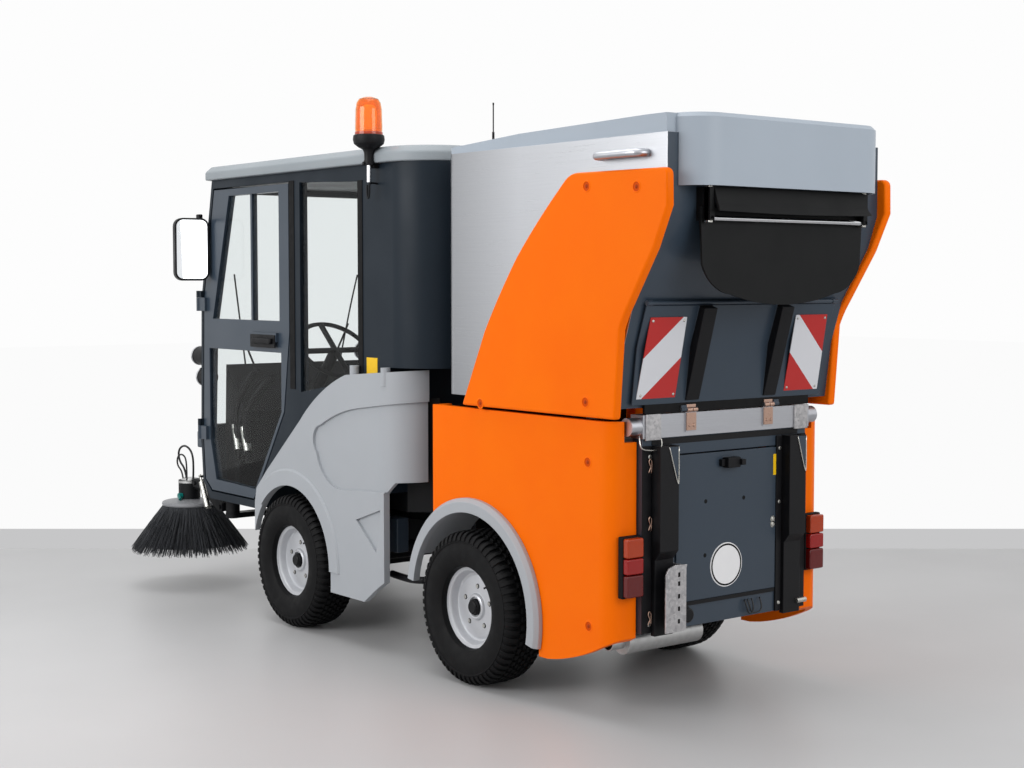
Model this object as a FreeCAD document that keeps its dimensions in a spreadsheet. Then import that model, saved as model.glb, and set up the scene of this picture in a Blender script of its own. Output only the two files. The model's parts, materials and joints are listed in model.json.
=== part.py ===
"""Compact articulated street sweeper: cab and wheels in front, hopper and engine behind.

Millimetres. +X points forward, +Y to the driver's left, +Z up. The model is drawn with
the rear axle at X = 0 and the ground at Z = 0, and is centred over its origin when saved.
"""
import itertools
import math
import os

import FreeCAD
import Part
import Sketcher
from FreeCAD import Placement, Rotation, Vector

DOC = FreeCAD.newDocument("StreetSweeper")
SHEET = DOC.addObject("Spreadsheet::Sheet", "Dims")

# Driving sizes: alias, value, what it measures.
SIZES = [
    ("wheelbase", 1264, "front axle ahead of the rear axle"),
    ("pivot_x", 800, "articulation pin ahead of the rear axle"),
    ("tyre_radius", 282, "loaded wheel, also the height of the axles"),
    ("tyre_width", 172, "tyre over its sidewalls"),
    ("track_half", 468, "middle of the truck to middle of a tyre"),
    ("rim_radius", 152, "bead seat of the rim"),
    ("rim_flange", 170, "rim flange outside the bead"),
    ("rim_wall", 5, "rolled rim sheet"),
    ("disc_face", 25, "outer face of the wheel disc from the middle of the tyre"),
    ("disc_wall", 8, "wheel disc at the hub"),
    ("bead_gap", 0.3, "assembly gap of a tyre on its rim"),
    ("shoulder", 12, "bevel between a tyre's side and its tread"),
    ("hub_radius", 30, "axle stub in the wheel disc"),
    ("hub_reach", 16, "how far an axle stub stands out of its wheel disc"),
    ("hub_gap", 0.06, "running clearance of a wheel on its stub"),
    ("drum_radius", 92, "wheel motor and brake drum"),
    ("drum_wide", 50, "wheel motor along the axle"),
    ("drum_gap", 12, "wheel motor behind its wheel disc's face"),
    ("axle_radius", 45, "axle tube"),
    ("saddle_half", 60, "half length of an axle saddle"),
    ("body_half", 510, "side plane of the painted rear body"),
    ("skin", 26, "moulded side panels"),
    ("fender_out", 30, "wings and fenders outside the painted side plane"),
    ("run_gap", 6, "least clearance between moving bodies"),
    ("fit_gap", 0.3, "gap between pieces that are bolted together"),
    ("cover_front", 254, "front edge of the lower side panels"),
    ("cover_rear", 753, "rear face of the lower side panels, behind the rear axle"),
    ("cover_top", 1008, "top edge of the lower side panels"),
    ("cover_low", 171, "lowest edge of the lower side panels"),
    ("cover_corner", 63, "rounding of the rear corners"),
    ("cover_lip", 112, "rear return of the side panels"),
    ("cover_return", 70, "front return of the side panels"),
    ("cover_rise", 118, "how much higher the side panels end at the tail"),
    ("fender_radius", 400, "outer edge of the rear wheel arch"),
    ("fender_band", 52, "width of the rear arch moulding"),
    ("fender_bevel", 14, "bevel along the rear arch moulding"),
    ("rail_half", 290, "middle of the truck to middle of a chassis rail"),
    ("rail_wide", 60, "chassis rail width"),
    ("rail_low", 370, "underside of the chassis rails"),
    ("rail_high", 90, "chassis rail depth"),
    ("front_rail_half", 200, "middle of the truck to middle of a front chassis rail"),
    ("fork_half", 200, "half width of the articulation fork at its root"),
    ("fork_plate", 26, "thickness of the fork's two plates"),
    ("fork_lobe", 75, "fork plate round the articulation pin"),
    ("neck_lobe", 70, "neck of the front chassis round the articulation pin"),
    ("pin_radius", 20, "articulation pin"),
    ("pin_gap", 0.05, "running clearance on the articulation pin"),
    ("bulkhead_waist", 600, "where the front bulkhead of the rear unit widens"),
    ("beam_axis_x", 790, "hopper hinge axis behind the rear axle"),
    ("beam_axis_z", 1040, "hopper hinge axis above the ground"),
    ("beam_low", 950, "underside of the rear cross beam"),
    ("beam_high", 78, "depth of the rear cross beam"),
    ("beam_deep", 60, "rear cross beam front to back"),
    ("beam_inset", 110, "end of the rear cross beam inside the painted side plane"),
    ("beam_cap", 46, "length of the rear cross beam's end caps"),
    ("leaf_near", 162, "hinge leaves from the middle"),
    ("leaf_wide", 48, "width of a hinge leaf on the beam"),
    ("leaf_thick", 4, "hinge leaf sheet"),
    ("knuckle_radius", 7, "hinge knuckles of the hopper"),
    ("tail_x", 775, "outer face of the tail frame behind the rear axle"),
    ("tail_half", 240, "half width of the tail panel"),
    ("tail_low", 385, "lower edge of the tail panel"),
    ("tail_top", 885, "upper edge of the tail panel"),
    ("tail_foot", 300, "lower end of the tail posts"),
    ("panel_thick", 18, "pressed tail panel"),
    ("channel_low", 290, "lower end of the guide channels"),
    ("channel_high", 635, "length of the guide channels"),
    ("channel_deep", 45, "guide channels front to back"),
    ("channel_near", 268, "inner side of the guide channels from the middle"),
    ("channel_wide", 84, "width of the guide channels"),
    ("lamp_low", 427, "lower edge of the tail lamps"),
    ("lamp_high", 205, "height of the tail lamps"),
    ("lamp_wide", 80, "width of the tail lamps"),
    ("lamp_deep", 46, "tail lamps front to back"),
    ("tow_y", 254, "tow bracket's upright from the middle"),
    ("tow_low", 310, "lower end of the tow bracket"),
    ("tow_high", 216, "length of the tow bracket"),
    ("tow_reach", 64, "tow bracket behind the tail"),
    ("tow_wall", 8, "tow bracket angle section"),
    ("tow_bore", 10.5, "tow bracket hole radius"),
    ("tow_hole_z", 340, "tow bracket hole above the ground"),
    ("silencer_radius", 44, "exhaust silencer"),
    ("silencer_z", 262, "exhaust silencer above the ground"),
    ("hopper_front", 190, "front wall of the hopper"),
    ("hopper_step", 10, "hopper side inside the painted side plane"),
    ("hopper_low", 1052, "underside of the hopper floor"),
    ("hopper_top", 1930, "top edge of the hopper walls"),
    ("hopper_rear", 1000, "upper rear edge of the hopper behind the rear axle"),
    ("hopper_wall", 6, "hopper sheet"),
    ("hopper_corner", 60, "rounding of the hopper's front corners"),
    ("wing_out", 34, "moulded hopper wings outside the hopper"),
    ("hatch_inset", 48, "hatch side inside the hopper side"),
    ("hatch_axis_x", 860, "hatch hinge behind the rear axle"),
    ("hatch_axis_z", 1397, "hatch hinge above the ground"),
    ("hatch_knuckle", 9, "hatch hinge knuckles"),
    ("rib_place", 186, "hatch stiffeners from the middle"),
    ("rib_half", 30, "half width of a hatch stiffener"),
    ("roof_top", 1990, "top of the hopper cover"),
    ("roof_inset", 6, "hopper cover inside the hopper side"),
    ("canopy_rear", 1085, "rear face of the canopy behind the rear axle"),
    ("canopy_inset", 42, "canopy side inside the hopper side"),
    ("canopy_low", 1765, "lower edge of the canopy"),
    ("canopy_corner", 115, "rounding of the canopy's corners"),
    ("canopy_wall", 9, "moulded cover thickness"),
    ("shield_inset", 115, "splash shield's edge inside the hopper side"),
    ("rail_rod", 7, "wash rail under the canopy"),
    ("cab_half", 500, "side plane of the cab"),
    ("cab_wall", 40, "cab pillars and doors"),
    ("cab_rear", -919, "rear wall of the cab from the front axle"),
    ("cab_corner", 195, "rounding of the cab's rear corners"),
    ("cab_step", -704, "rear of the cab below the sills from the front axle, clear of the turn"),
    ("cab_sill", 1132, "underside of the cab's overhanging rear"),
    ("cab_deck", 640, "cab floor over the wheels"),
    ("cab_foot", 462, "underside of the foot well"),
    ("cab_floor", 12, "cab floor sheet"),
    ("cab_top", 1925, "top of the cab frame"),
    ("glass", 5, "window panes"),
    ("pane_gap", 0.4, "sealing gap round a pane"),
    ("roof_rise", 62, "cab roof moulding above the frame"),
    ("roof_eave", 26, "cab roof moulding outside the cab, and its bevel"),
    ("door_hinge_x", 878, "door hinge axis ahead of the front axle"),
    ("door_hinge_y", 512, "door hinge axis from the middle"),
    ("door_knuckle", 9, "door hinge knuckles"),
    ("door_seam", 8, "gap round a door"),
    ("mirror_x", 776, "mirror glass ahead of the front axle"),
    ("mirror_deep", 48, "mirror shell front to back"),
    ("wing_low", 197, "lower edge of the front wings"),
    ("wing_tail", -827, "rear edge of the front wings from the front axle"),
    ("wing_turn", 172, "rounding of the front wings towards the articulation"),
    ("wing_arch", 322, "opening of the front wings over the wheel"),
    ("wing_flute", 12, "depth of the front wings' pressed field"),
    ("boss_radius", 19, "bolt bosses on the front wings"),
    ("brush_x", 1136, "side brush centre ahead of the front axle"),
    ("brush_y", 440, "side brush centre from the middle"),
    ("brush_radius", 280, "side brush at its bristle tips"),
    ("brush_disc", 130, "side brush carrier disc"),
    ("brush_tip", 170, "bristle tips above the ground with the brush raised"),
    ("brush_plate", 395, "underside of the carrier disc"),
    ("disc_thick", 28, "side brush carrier disc thickness"),
    ("tuft_wide", 22, "bristle tuft across"),
    ("tuft_count", 30, "bristle tufts on a side brush"),
    ("shaft_radius", 14, "brush motor shaft"),
    ("motor_radius", 52, "brush motor"),
    ("motor_high", 88, "brush motor height"),
    ("arm_back", 796, "lift pivot of a brush arm ahead of the front axle"),
    ("arm_low", 418, "lift pivot of a brush arm above the ground"),
    ("arm_high", 505, "head pivot of a brush arm above the ground"),
    ("arm_front", 1048, "head pivot of a brush arm ahead of the front axle"),
    ("arm_plate", 14, "brush arm plates"),
    ("arm_near", 22, "brush arm plates from the arm's middle"),
    ("arm_pin", 11, "lift pivot pin of a brush arm"),
    ("head_pin", 10, "head pivot pin of a brush arm"),
    ("pivot_reach", 44, "half length of the brush arm's pivot pins"),
    ("swing_x", 736, "swing pin of a brush arm ahead of the front axle"),
    ("swing_y", 420, "swing pin of a brush arm from the middle"),
    ("swing_pin", 12, "swing pin of a brush arm"),
    ("nozzle_x", 356, "rear of the suction nozzle ahead of the front axle"),
    ("nozzle_long", 230, "suction nozzle front to back"),
    ("nozzle_half", 330, "half width of the suction nozzle"),
    ("nozzle_low", 140, "nozzle edge above the ground when raised"),
    ("nozzle_high", 95, "nozzle hood height"),
    ("nozzle_wall", 10, "nozzle hood wall"),
    ("duct_radius", 90, "suction duct"),
    ("duct_wall", 6, "suction duct wall"),
    ("duct_gap", 0.4, "running clearance of the nozzle on its duct"),
    ("ram_x", 200, "foot of the tipping ram behind the rear axle"),
    ("ram_z", 430, "foot of the tipping ram above the ground"),
    ("ram_eye_x", 340, "rod eye of the tipping ram behind the rear axle"),
    ("ram_eye_z", 1000, "rod eye of the tipping ram above the ground"),
    ("ram_y", 200, "tipping ram from the middle"),
    ("ram_radius", 32, "tipping ram barrel"),
    ("ram_long", 494, "tipping ram barrel length"),
    ("ram_pin", 14, "foot pin of the tipping ram"),
    ("ram_ear", 10, "cheek plates of the tipping ram's foot"),
    ("rod_radius", 18, "tipping ram rod"),
    ("seam", 4, "gap between neighbouring painted panels"),
    ("lap", 2, "how far fused parts reach into each other"),
    ("sheet", 6, "folded sheet metal"),
    ("plate", 8, "steel plate and wheel housing"),
    ("arch_lap", 20, "side panels behind the rear arch moulding"),
    ("cover_sweep", 860, "curve of the side panels' lower rear edge"),
    ("liner_near", 40, "wheel housing's inner side from the rail's middle"),
    ("cross_x", 380, "middle cross member behind the rear axle"),
    ("ram_ear_half", 45, "half length of the ram foot's cheek plates"),
    ("engine_rear", 640, "rear of the engine block behind the rear axle"),
    ("engine_front", 70, "front of the engine block behind the rear axle"),
    ("engine_right", 300, "right side of the engine block from the middle"),
    ("engine_left", 110, "left side of the engine block from the middle"),
    ("engine_top", 880, "top of the engine block"),
    ("ledge", 16, "ledge behind the tail panel's edge"),
    ("panel_proud", 4, "tail panel's face behind the tail frame's"),
    ("latch_drop", 20, "tail panel's latch below its upper edge"),
    ("latch_high", 28, "tail panel's latch height"),
    ("latch_deep", 14, "tail panel's latch behind the panel"),
    ("latch_half", 24, "half width of the tail panel's latch"),
    ("channel_step", 545, "height at which the guide channels step back"),
    ("channel_slope", 30, "height of the guide channels' sloped step"),
    ("channel_shallow", 20, "guide channels front to back below the step"),
    ("channel_mouth", 85, "depth of the guide channels' open top"),
    ("lamp_inset", 30, "tail lamp's outer edge inside the painted side plane"),
    ("lamp_bevel", 12, "bevel round the tail lamps"),
    ("beam_proud", 5, "rear cross beam ahead of the hinge axis"),
    ("leaf_foot", 14, "foot of the hinge leaves above the beam's underside"),
    ("knuckle_long", 25, "length of the hopper's and hatch's hinge knuckles"),
    ("leaf_reach", 15, "hatch hinge leaves ahead of the hinge axis"),
    ("tow_hole_x", 40, "tow bracket hole behind the tail"),
    ("silencer_ahead", 70, "exhaust silencer ahead of the tail"),
    ("silencer_near", 60, "right end of the exhaust silencer from the middle"),
    ("silencer_long", 340, "length of the exhaust silencer"),
    ("pipe_reach", 60, "tail pipe beyond the silencer"),
    ("pipe_radius", 24, "tail pipe"),
    ("pipe_wall", 3, "tail pipe wall"),
    ("hanger_y", 150, "silencer hanger from the middle"),
    ("hanger_half", 20, "half width of the silencer hanger"),
    ("mouth_lap", 40, "hatch beyond the hopper's mouth"),
    ("mouth_sill", 28, "lower edge of the hopper's mouth above its floor"),
    ("bar_inset", 22, "end of the hatch's hinge bar inside the hatch side"),
    ("grab_out", 40, "grab handle outside the hopper"),
    ("grab_bar", 22, "grab handle's bar"),
    ("grab_leg", 25, "grab handle's legs"),
    ("grab_front", 700, "front of the grab handle behind the rear axle"),
    ("grab_rear", 900, "rear of the grab handle behind the rear axle"),
    ("grab_low", 1858, "underside of the grab handle"),
    ("ram_lug_gap", 30, "ram lugs from the ram's middle"),
    ("ram_lug_half", 30, "half length of the ram lugs"),
    ("ram_lug_drop", 22, "ram lugs below the rod's eye"),
    ("shield_x", 1030, "splash shield behind the rear axle"),
    ("shield_top", 1700, "upper edge of the splash shield"),
    ("shield_narrow", 10, "splash shield narrower at its bend"),
    ("shield_bend", 1520, "where the splash shield's sides turn in"),
    ("shield_turn", 150, "rounding of the splash shield's lower corners"),
    ("shield_flat", 250, "half length of the splash shield's lower edge"),
    ("shield_low", 1425, "lower edge of the splash shield at its corners"),
    ("shield_sag", 900, "sag of the splash shield's lower edge"),
    ("flap_inset", 20, "canopy flap inside the shield's ties"),
    ("rail_x", 1046, "wash rail behind the rear axle"),
    ("rail_z", 1664, "wash rail above the ground"),
    ("tie_x", 1062, "rear of the shield's ties behind the rear axle"),
    ("roof_rear", 990, "rear edge of the hopper cover behind the rear axle"),
    ("roof_nose", 14, "how far the hopper cover's front edge leans back"),
    ("roof_edge", 22, "height of the hopper cover's front edge"),
    ("roof_bend", 250, "hopper cover's first bend behind the rear axle"),
    ("roof_fall", 14, "hopper cover lower at its first bend"),
    ("roof_level", 900, "where the hopper cover turns level"),
    ("canopy_lap", 40, "canopy ahead of the hopper cover's rear edge"),
    ("canopy_bevel", 14, "bevel round the canopy's top"),
    ("ram_start", 26, "foot of the ram's tube above its pin"),
    ("rod_eye", 24, "rod eye of the tipping ram"),
    ("fork_gap", 1, "running clearance between fork and neck"),
    ("neck_long", 330, "root of the articulation neck ahead of the pin"),
    ("neck_half", 180, "half width of the neck at its root"),
    ("neck_lap", 20, "rails' rear end behind the neck's root, past a cross member"),
    ("rail_past", 20, "front rails ahead of the swing pins"),
    ("front_cross_x", 180, "middle cross member ahead of the front axle"),
    ("outrigger", 24, "depth of the outriggers that carry the brush arms"),
    ("swing_lug", 34, "end of an outrigger round the swing pin"),
    ("wing_front", 308, "front edge of the front wings ahead of the front axle"),
    ("wing_shoulder", -443, "shoulder of the front wings from the front axle"),
    ("wing_fall", 39, "front wings' shoulder below the cab's overhang"),
    ("lip_band", 70, "width of the raised lip round the front arches"),
    ("lip_proud", 8, "raised lip outside the front wings"),
    ("stay_high", 40, "height of the front wings' stays"),
    ("cab_header", 30, "roof rail over the cab's openings"),
    ("cab_well", 256, "rear of the foot well ahead of the front axle"),
    ("well_slope", 120, "slope of the foot well's rear wall"),
    ("screen_back", 666, "start of the windscreen opening ahead of the front axle"),
    ("screen_low", 800, "lower edge of the windscreen"),
    ("screen_bend", 1380, "height at which the windscreen leans back"),
    ("screen_top", 1868, "upper edge of the windscreen"),
    ("screen_side", 62, "front pillars beside the windscreen's foot"),
    ("screen_taper", 8, "windscreen narrower at its bend"),
    ("pane_deep", 14, "panes behind the outer faces"),
    ("back_half", 215, "half width of the rear window"),
    ("back_low", 1240, "lower edge of the rear window"),
    ("back_high", 600, "height of the rear window"),
    ("roof_front", 859, "front of the cab roof ahead of the front axle"),
    ("roof_tail", 8, "cab roof behind the cab"),
    ("roof_taper", 90, "length of the cab roof's front corners"),
    ("roof_cheek", 130, "width of the cab roof's front corners"),
    ("roof_crown", 2400, "curve of the cab roof's front edge"),
    ("desk_half", 400, "half width of the dashboard"),
    ("desk_toe", 754, "front of the dashboard's foot ahead of the front axle"),
    ("desk_heel", 711, "rear of the dashboard's foot ahead of the front axle"),
    ("steer_x", 504, "steering wheel ahead of the front axle"),
    ("steer_z", 1146, "steering wheel above the ground"),
    ("steer_radius", 178, "steering wheel"),
    ("steer_grip", 13, "steering wheel's rim"),
    ("column_long", 330, "steering column"),
    ("column_radius", 26, "steering column's cover"),
    ("seat_rear", -404, "rear of the seat's base from the front axle"),
    ("seat_front", 116, "front of the seat's base ahead of the front axle"),
    ("seat_base", 790, "height over which the seat's edges are bevelled"),
    ("seat_half", 240, "half width of the seat"),
    ("seat_bevel", 22, "bevel round the seat"),
    ("headlamp_y", 452, "headlamps from the middle"),
    ("headlamp_radius", 42, "headlamp pots"),
    ("stay_foot", 985, "lower end of the headlamps' stays"),
    ("stay_tall", 165, "height of the headlamps' stays"),
    ("stay_reach", 35, "headlamps' stays ahead of the cab"),
    ("stay_half", 12, "half width of the headlamps' stays"),
    ("beacon_x", -624, "beacon from the front axle"),
    ("beacon_out", 38, "beacon's pole outside the cab"),
    ("beacon_base", 56, "beacon's socket"),
    ("socket_high", 36, "height of the beacon's socket"),
    ("beacon_radius", 52, "beacon's dome"),
    ("beacon_high", 150, "height of the beacon's dome"),
    ("pole_radius", 9, "beacon's pole"),
    ("clamp_drop", 110, "pole's clamp below the top of the cab frame"),
    ("clamp_half", 16, "half width of the pole's clamp"),
    ("window_bar", 396, "divider of the door's upper window ahead of the front axle"),
    ("hinge_low", 735, "lower end of the lower door hinge"),
    ("hinge_apart", 595, "distance between the door hinges"),
    ("hinge_leaf", 66, "door hinge leaf behind its axis"),
    ("knuckle_high", 62, "height of a door hinge's knuckle"),
    ("handle_x", 156, "rear of the door handle ahead of the front axle"),
    ("handle_z", 1205, "lower edge of the door handle"),
    ("handle_long", 220, "length of the door handle"),
    ("handle_high", 40, "height of the door handle"),
    ("handle_proud", 14, "door handle outside the door"),
    ("mirror_low", 1470, "lower edge of the mirror"),
    ("mirror_high", 285, "height of the mirror"),
    ("mirror_wide", 168, "width of the mirror"),
    ("mirror_corner", 22, "rounding of the mirror's corners"),
    ("mirror_bevel", 14, "bevel round the mirror's shell"),
    ("mirror_arm", 10, "mirror's arm"),
    ("bracket_boss", 32, "boss of a brush bracket"),
    ("bracket_high", 58, "height of a brush bracket's boss"),
    ("web_high", 40, "height of a brush bracket's web"),
    ("arm_end", 20, "brush arm plates round their pins"),
    ("arm_clear", 3, "brush head's neck inside the arm plates"),
    ("neck_drop", 34, "brush head's neck below its pin"),
    ("neck_rise", 14, "brush head's neck above its pin"),
    ("spacer_x", 105, "arm spacer behind the head pin"),
    ("spacer_z", 486, "underside of the arm spacer"),
    ("spacer_half", 17, "half length of the arm spacer"),
    ("tuft_root", 34, "inner side of a tuft's root inside the disc's edge"),
    ("tuft_spread", 60, "how far the tufts bend outwards below their middle"),
    ("tuft_tip", 46, "bristle tuft at its tip"),
    ("nozzle_slope", 30, "slope of the nozzle's rear wall"),
    ("nozzle_nose", 20, "slope of the nozzle's front wall"),
    ("collar_wall", 12, "nozzle's collar round the duct"),
    ("collar_high", 155, "nozzle's collar height"),
    ("ear_high", 20, "duct's ears"),
]

# Outlines in side view: how far ahead of an axle, how high above the ground, and where it curves, the
# radius of the arc to the next corner. Those of the rear unit start from the rear axle, the others
# from the front axle.
OUTLINES = {
    "hopper_rear": [(-772, 1052), (-800, 1250), (-846, 1392), (-962, 1580), (-1000, 1690)],
    "hopper_wing": [(40, 1020), (-95, 1290, 2600), (-280, 1550, 2600), (-465, 1735), (-535, 1797, 100),
                    (-600, 1822), (-1010, 1818, 24), (-1034, 1795), (-1036, 1700), (-975, 1570),
                    (-862, 1395, -420), (-815, 1310), (-792, 1020)],
    "hatch_side": [(-782, 1062), (-806, 1252), (-851, 1390), (-857, 1388), (-812, 1251), (-788, 1062)],
    "rib_side": [(-787, 1072), (-811, 1252), (-855, 1386), (-882, 1378), (-836, 1215), (-796, 1070)],
    "flap_side": [(-1062, 1762), (-1086, 1690), (-1079, 1688), (-1052, 1762)],
    "wing_brow": [(318, 500), (308, 500), (292, 566), (207, 645), (-86, 888, 900)],
    "wing_notch": [(-564, 190), (-708, 290), (-708, 640), (-744, 684), (-864, 690)],
    "wing_field": [(-436, 629, 195), (-213, 765, 64), (-247, 879, 900), (-552, 967), (-834, 1003),
                   (-834, 655)],
    "wing_hollow": [(-517, 519), (-689, 575), (-664, 403)],
    "wing_bosses": [(-480, 1060), (-704, 1060)],
    "wing_stays": [(-564, 1046), (-94, 690)],
    "cab_front": [(754, 1925), (870, 1380), (888, 729), (873, 540), (804, 474)],
    "door_side": [(740, 1888), (850, 1382), (868, 729), (853, 547), (789, 496), (386, 496), (310, 600),
                  (108, 905), (58, 1250), (58, 1888)],
    "side_light": [(-28, 1000), (-28, 1880), (-482, 1862), (-482, 1075)],
    "upper_glass": [(758, 1296), (594, 1850), (148, 1850), (148, 1296)],
    "lower_glass": [(796, 1160), (136, 1160), (138, 905), (376, 548), (742, 556), (796, 745)],
    "desk_side": [(696, 820), (636, 870), (821, 1080), (834, 760), (824, 552)],
    "seat_side": [(116, 800), (216, 850), (236, 930), (176, 965), (-184, 935), (-304, 1480), (-364, 1560),
                  (-414, 1540), (-304, 900), (-404, 800)],
    "headlamp_pots": [(993, 1117), (945, 1020)],
    "arm_upper": [(886, 480), (951, 528)],
    "arm_lower": [(961, 486), (906, 440)],
}
PAST = 5                   # how far cutting shapes reach past the faces that they cut
FENDER_TURN = (8, 192)     # degrees from level, rear arch mouldings from front to rear
LINER_TURN = (26, 190)     # degrees from level, rear wheel housings
LIP_TURN = (42, 180)       # degrees from level, raised lips round the front arches
WING_END = 10              # degrees by which the front wings' rear turn stays short of square
STEER_LEAN = 42            # degrees by which the steering column leans back


class Size:
    """A length: its value, and the text that binds a property to the spreadsheet."""

    def __init__(self, value, text):
        self.value = float(value)
        self.text = text

    def __add__(self, other):
        other = size(other)
        return Size(self.value + other.value, "(%s + %s)" % (self.text, other.text))

    def __sub__(self, other):
        other = size(other)
        return Size(self.value - other.value, "(%s - %s)" % (self.text, other.text))

    def __mul__(self, factor):
        return Size(self.value * factor, "(%s * %s)" % (self.text, factor))

    def __truediv__(self, factor):
        return Size(self.value / factor, "(%s / %s)" % (self.text, factor))

    def __neg__(self):
        return Size(-self.value, "(0 - %s)" % self.text)

    def __radd__(self, other):
        return size(other) + self

    def __rsub__(self, other):
        return size(other) - self


def size(value):
    """A plain number or a Size, as a Size."""
    if isinstance(value, Size):
        return value
    return Size(value, "%.4f" % value)


class Named:
    """Looks up the named sizes as attributes."""


D = Named()
ROWS = itertools.count(1)


def enter(alias, value, note):
    """Writes a size into the sheet and returns it."""
    row = next(ROWS)
    SHEET.set("A%d" % row, note)
    SHEET.set("B%d" % row, str(value))
    SHEET.setAlias("B%d" % row, alias)
    return Size(value, "Dims.%s" % alias)


for alias, value, note in SIZES:
    setattr(D, alias, enter(alias, value, note))
for name, corners in OUTLINES.items():
    outline = []
    for number, corner in enumerate(corners):
        marks = ["%s_%s%d" % (name, part, number) for part in ("ahead", "high", "turn")]
        outline.append(tuple(enter(mark, value, "outline") for mark, value in zip(marks, corner)))
    setattr(D, name, outline)
DOC.recompute()

# Places that are given from the front axle, counted from the rear axle.
for alias in ("cab_rear", "cab_step", "door_hinge_x", "mirror_x", "wing_tail", "brush_x", "arm_back",
              "arm_front", "swing_x", "nozzle_x"):
    setattr(D, alias, D.wheelbase + getattr(D, alias))
# Widths that follow from the painted side plane.
D.wing_half = D.body_half + D.fender_out
D.beam_half = D.body_half - D.beam_inset
D.hopper_half = D.body_half - D.hopper_step
D.hatch_half = D.hopper_half - D.hatch_inset
D.hatch_bar_half = D.hatch_half - D.bar_inset
D.shield_half = D.hopper_half - D.shield_inset
D.canopy_half = D.hopper_half - D.canopy_inset

NODES = {}


def keep(name, thing):
    """Registers the object that becomes one saved piece."""
    thing.Label = name
    NODES[name] = thing
    return thing


def bind(thing, **values):
    """Binds properties to sizes, with _ standing for a dot in the property's path."""
    for path, value in values.items():
        thing.setExpression(path.replace("_", "."), size(value).text)


def at(thing, x=0, y=0, z=0):
    """Puts an object at a point whose coordinates are bound to the sheet."""
    spot = Vector(size(x).value, size(y).value, size(z).value)
    thing.Placement = Placement(spot, thing.Placement.Rotation)
    bind(thing, Placement_Base_x=x, Placement_Base_y=y, Placement_Base_z=z)
    return thing


def box(name, low, high):
    """A box between two corners."""
    thing = DOC.addObject("Part::Box", name)
    low = [size(value) for value in low]
    high = [size(value) for value in high]
    bind(thing, Length=high[0] - low[0], Width=high[1] - low[1], Height=high[2] - low[2])
    return at(thing, *low)


TURNS = {
    "x": Rotation(Vector(0, 1, 0), 90),
    "y": Rotation(Vector(1, 0, 0), -90),
    "z": Rotation(),
}


def rod(name, axis, start, radius, length):
    """A cylinder from a start point along +X, +Y or +Z."""
    thing = DOC.addObject("Part::Cylinder", name)
    thing.Placement = Placement(Vector(), TURNS[axis])
    bind(thing, Radius=radius, Height=length)
    return at(thing, *start)


def fuse(name, *things):
    """One solid from several that touch or overlap."""
    thing = DOC.addObject("Part::MultiFuse", name)
    thing.Shapes = list(things)
    thing.Refine = True
    return thing


def group(name, *things):
    """Several solids that don't touch, as one piece."""
    thing = DOC.addObject("Part::Compound", name)
    thing.Links = list(things)
    return thing


def cut(name, base, *tools):
    """A solid less one or more others."""
    tool = tools[0] if len(tools) == 1 else group(name + "_tools", *tools)
    thing = DOC.addObject("Part::Cut", name)
    thing.Base = base
    thing.Tool = tool
    return thing


def common(name, base, tool):
    """What two solids share."""
    thing = DOC.addObject("Part::Common", name)
    thing.Base = base
    thing.Tool = tool
    return thing


def mirror(name, thing):
    """The same piece on the truck's other side."""
    twin = DOC.addObject("Part::Mirroring", name)
    twin.Source = thing
    twin.Normal = Vector(0, 1, 0)
    return twin


def both(name, thing):
    """A piece with its mirror image, as one object."""
    return group(name, thing, mirror(name + "_right", thing))


def sides(low, high):
    """The spans of a pair of pieces, left and right, from their inner and outer distances."""
    return (("left", low, high), ("right", -high, -low))


def ahead(outline):
    """An outline that is given from the front axle, counted from the rear axle."""
    return [(D.wheelbase + corner[0], *corner[1:]) for corner in outline]


def arc_centre(start, end, radius):
    """Centre of the arc from start to end that bulges to the right of that line, or left if negative."""
    across = end - start
    half = across.Length / 2
    rise = math.sqrt(max(radius * radius - half * half, 0))
    left = Vector(-across.y, across.x, 0).normalize()
    return (start + end) * 0.5 + left * (rise if radius > 0 else -rise)


def fill_sketch(sketch, outline):
    """Draws a closed outline of (u, v) or (u, v, arc radius to the next) and fixes every corner."""
    corners = [Vector(size(corner[0]).value, size(corner[1]).value, 0) for corner in outline]
    for index, corner in enumerate(outline):
        start = corners[index]
        end = corners[(index + 1) % len(corners)]
        if len(corner) == 2:
            sketch.addGeometry(Part.LineSegment(start, end), False)
            continue
        bulge = size(corner[2]).value
        centre = arc_centre(start, end, bulge)
        first, last = (start, end) if bulge > 0 else (end, start)
        angles = [math.atan2(point.y - centre.y, point.x - centre.x) for point in (first, last)]
        circle = Part.Circle(centre, Vector(0, 0, 1), abs(bulge))
        sketch.addGeometry(Part.ArcOfCircle(circle, angles[0], angles[1]), False)
    ends = []
    for corner in outline:
        turned = len(corner) == 3 and size(corner[2]).value < 0
        ends.append((2, 1) if turned else (1, 2))
    for index, corner in enumerate(outline):
        following = (index + 1) % len(outline)
        sketch.addConstraint(Sketcher.Constraint(
            "Coincident", index, ends[index][1], following, ends[following][0]))
        for value, kind, axis in ((size(corner[0]), "DistanceX", -2), (size(corner[1]), "DistanceY", -1)):
            if value.value == 0:
                sketch.addConstraint(Sketcher.Constraint("PointOnObject", index, ends[index][0], axis))
                continue
            number = sketch.addConstraint(Sketcher.Constraint(kind, index, ends[index][0], value.value))
            sketch.setExpression("Constraints[%d]" % number, value.text)
        if len(corner) == 3:
            radius = size(corner[2])
            number = sketch.addConstraint(Sketcher.Constraint("Radius", index, abs(radius.value)))
            text = radius.text if radius.value > 0 else "(0 - %s)" % radius.text
            sketch.setExpression("Constraints[%d]" % number, text)


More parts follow.
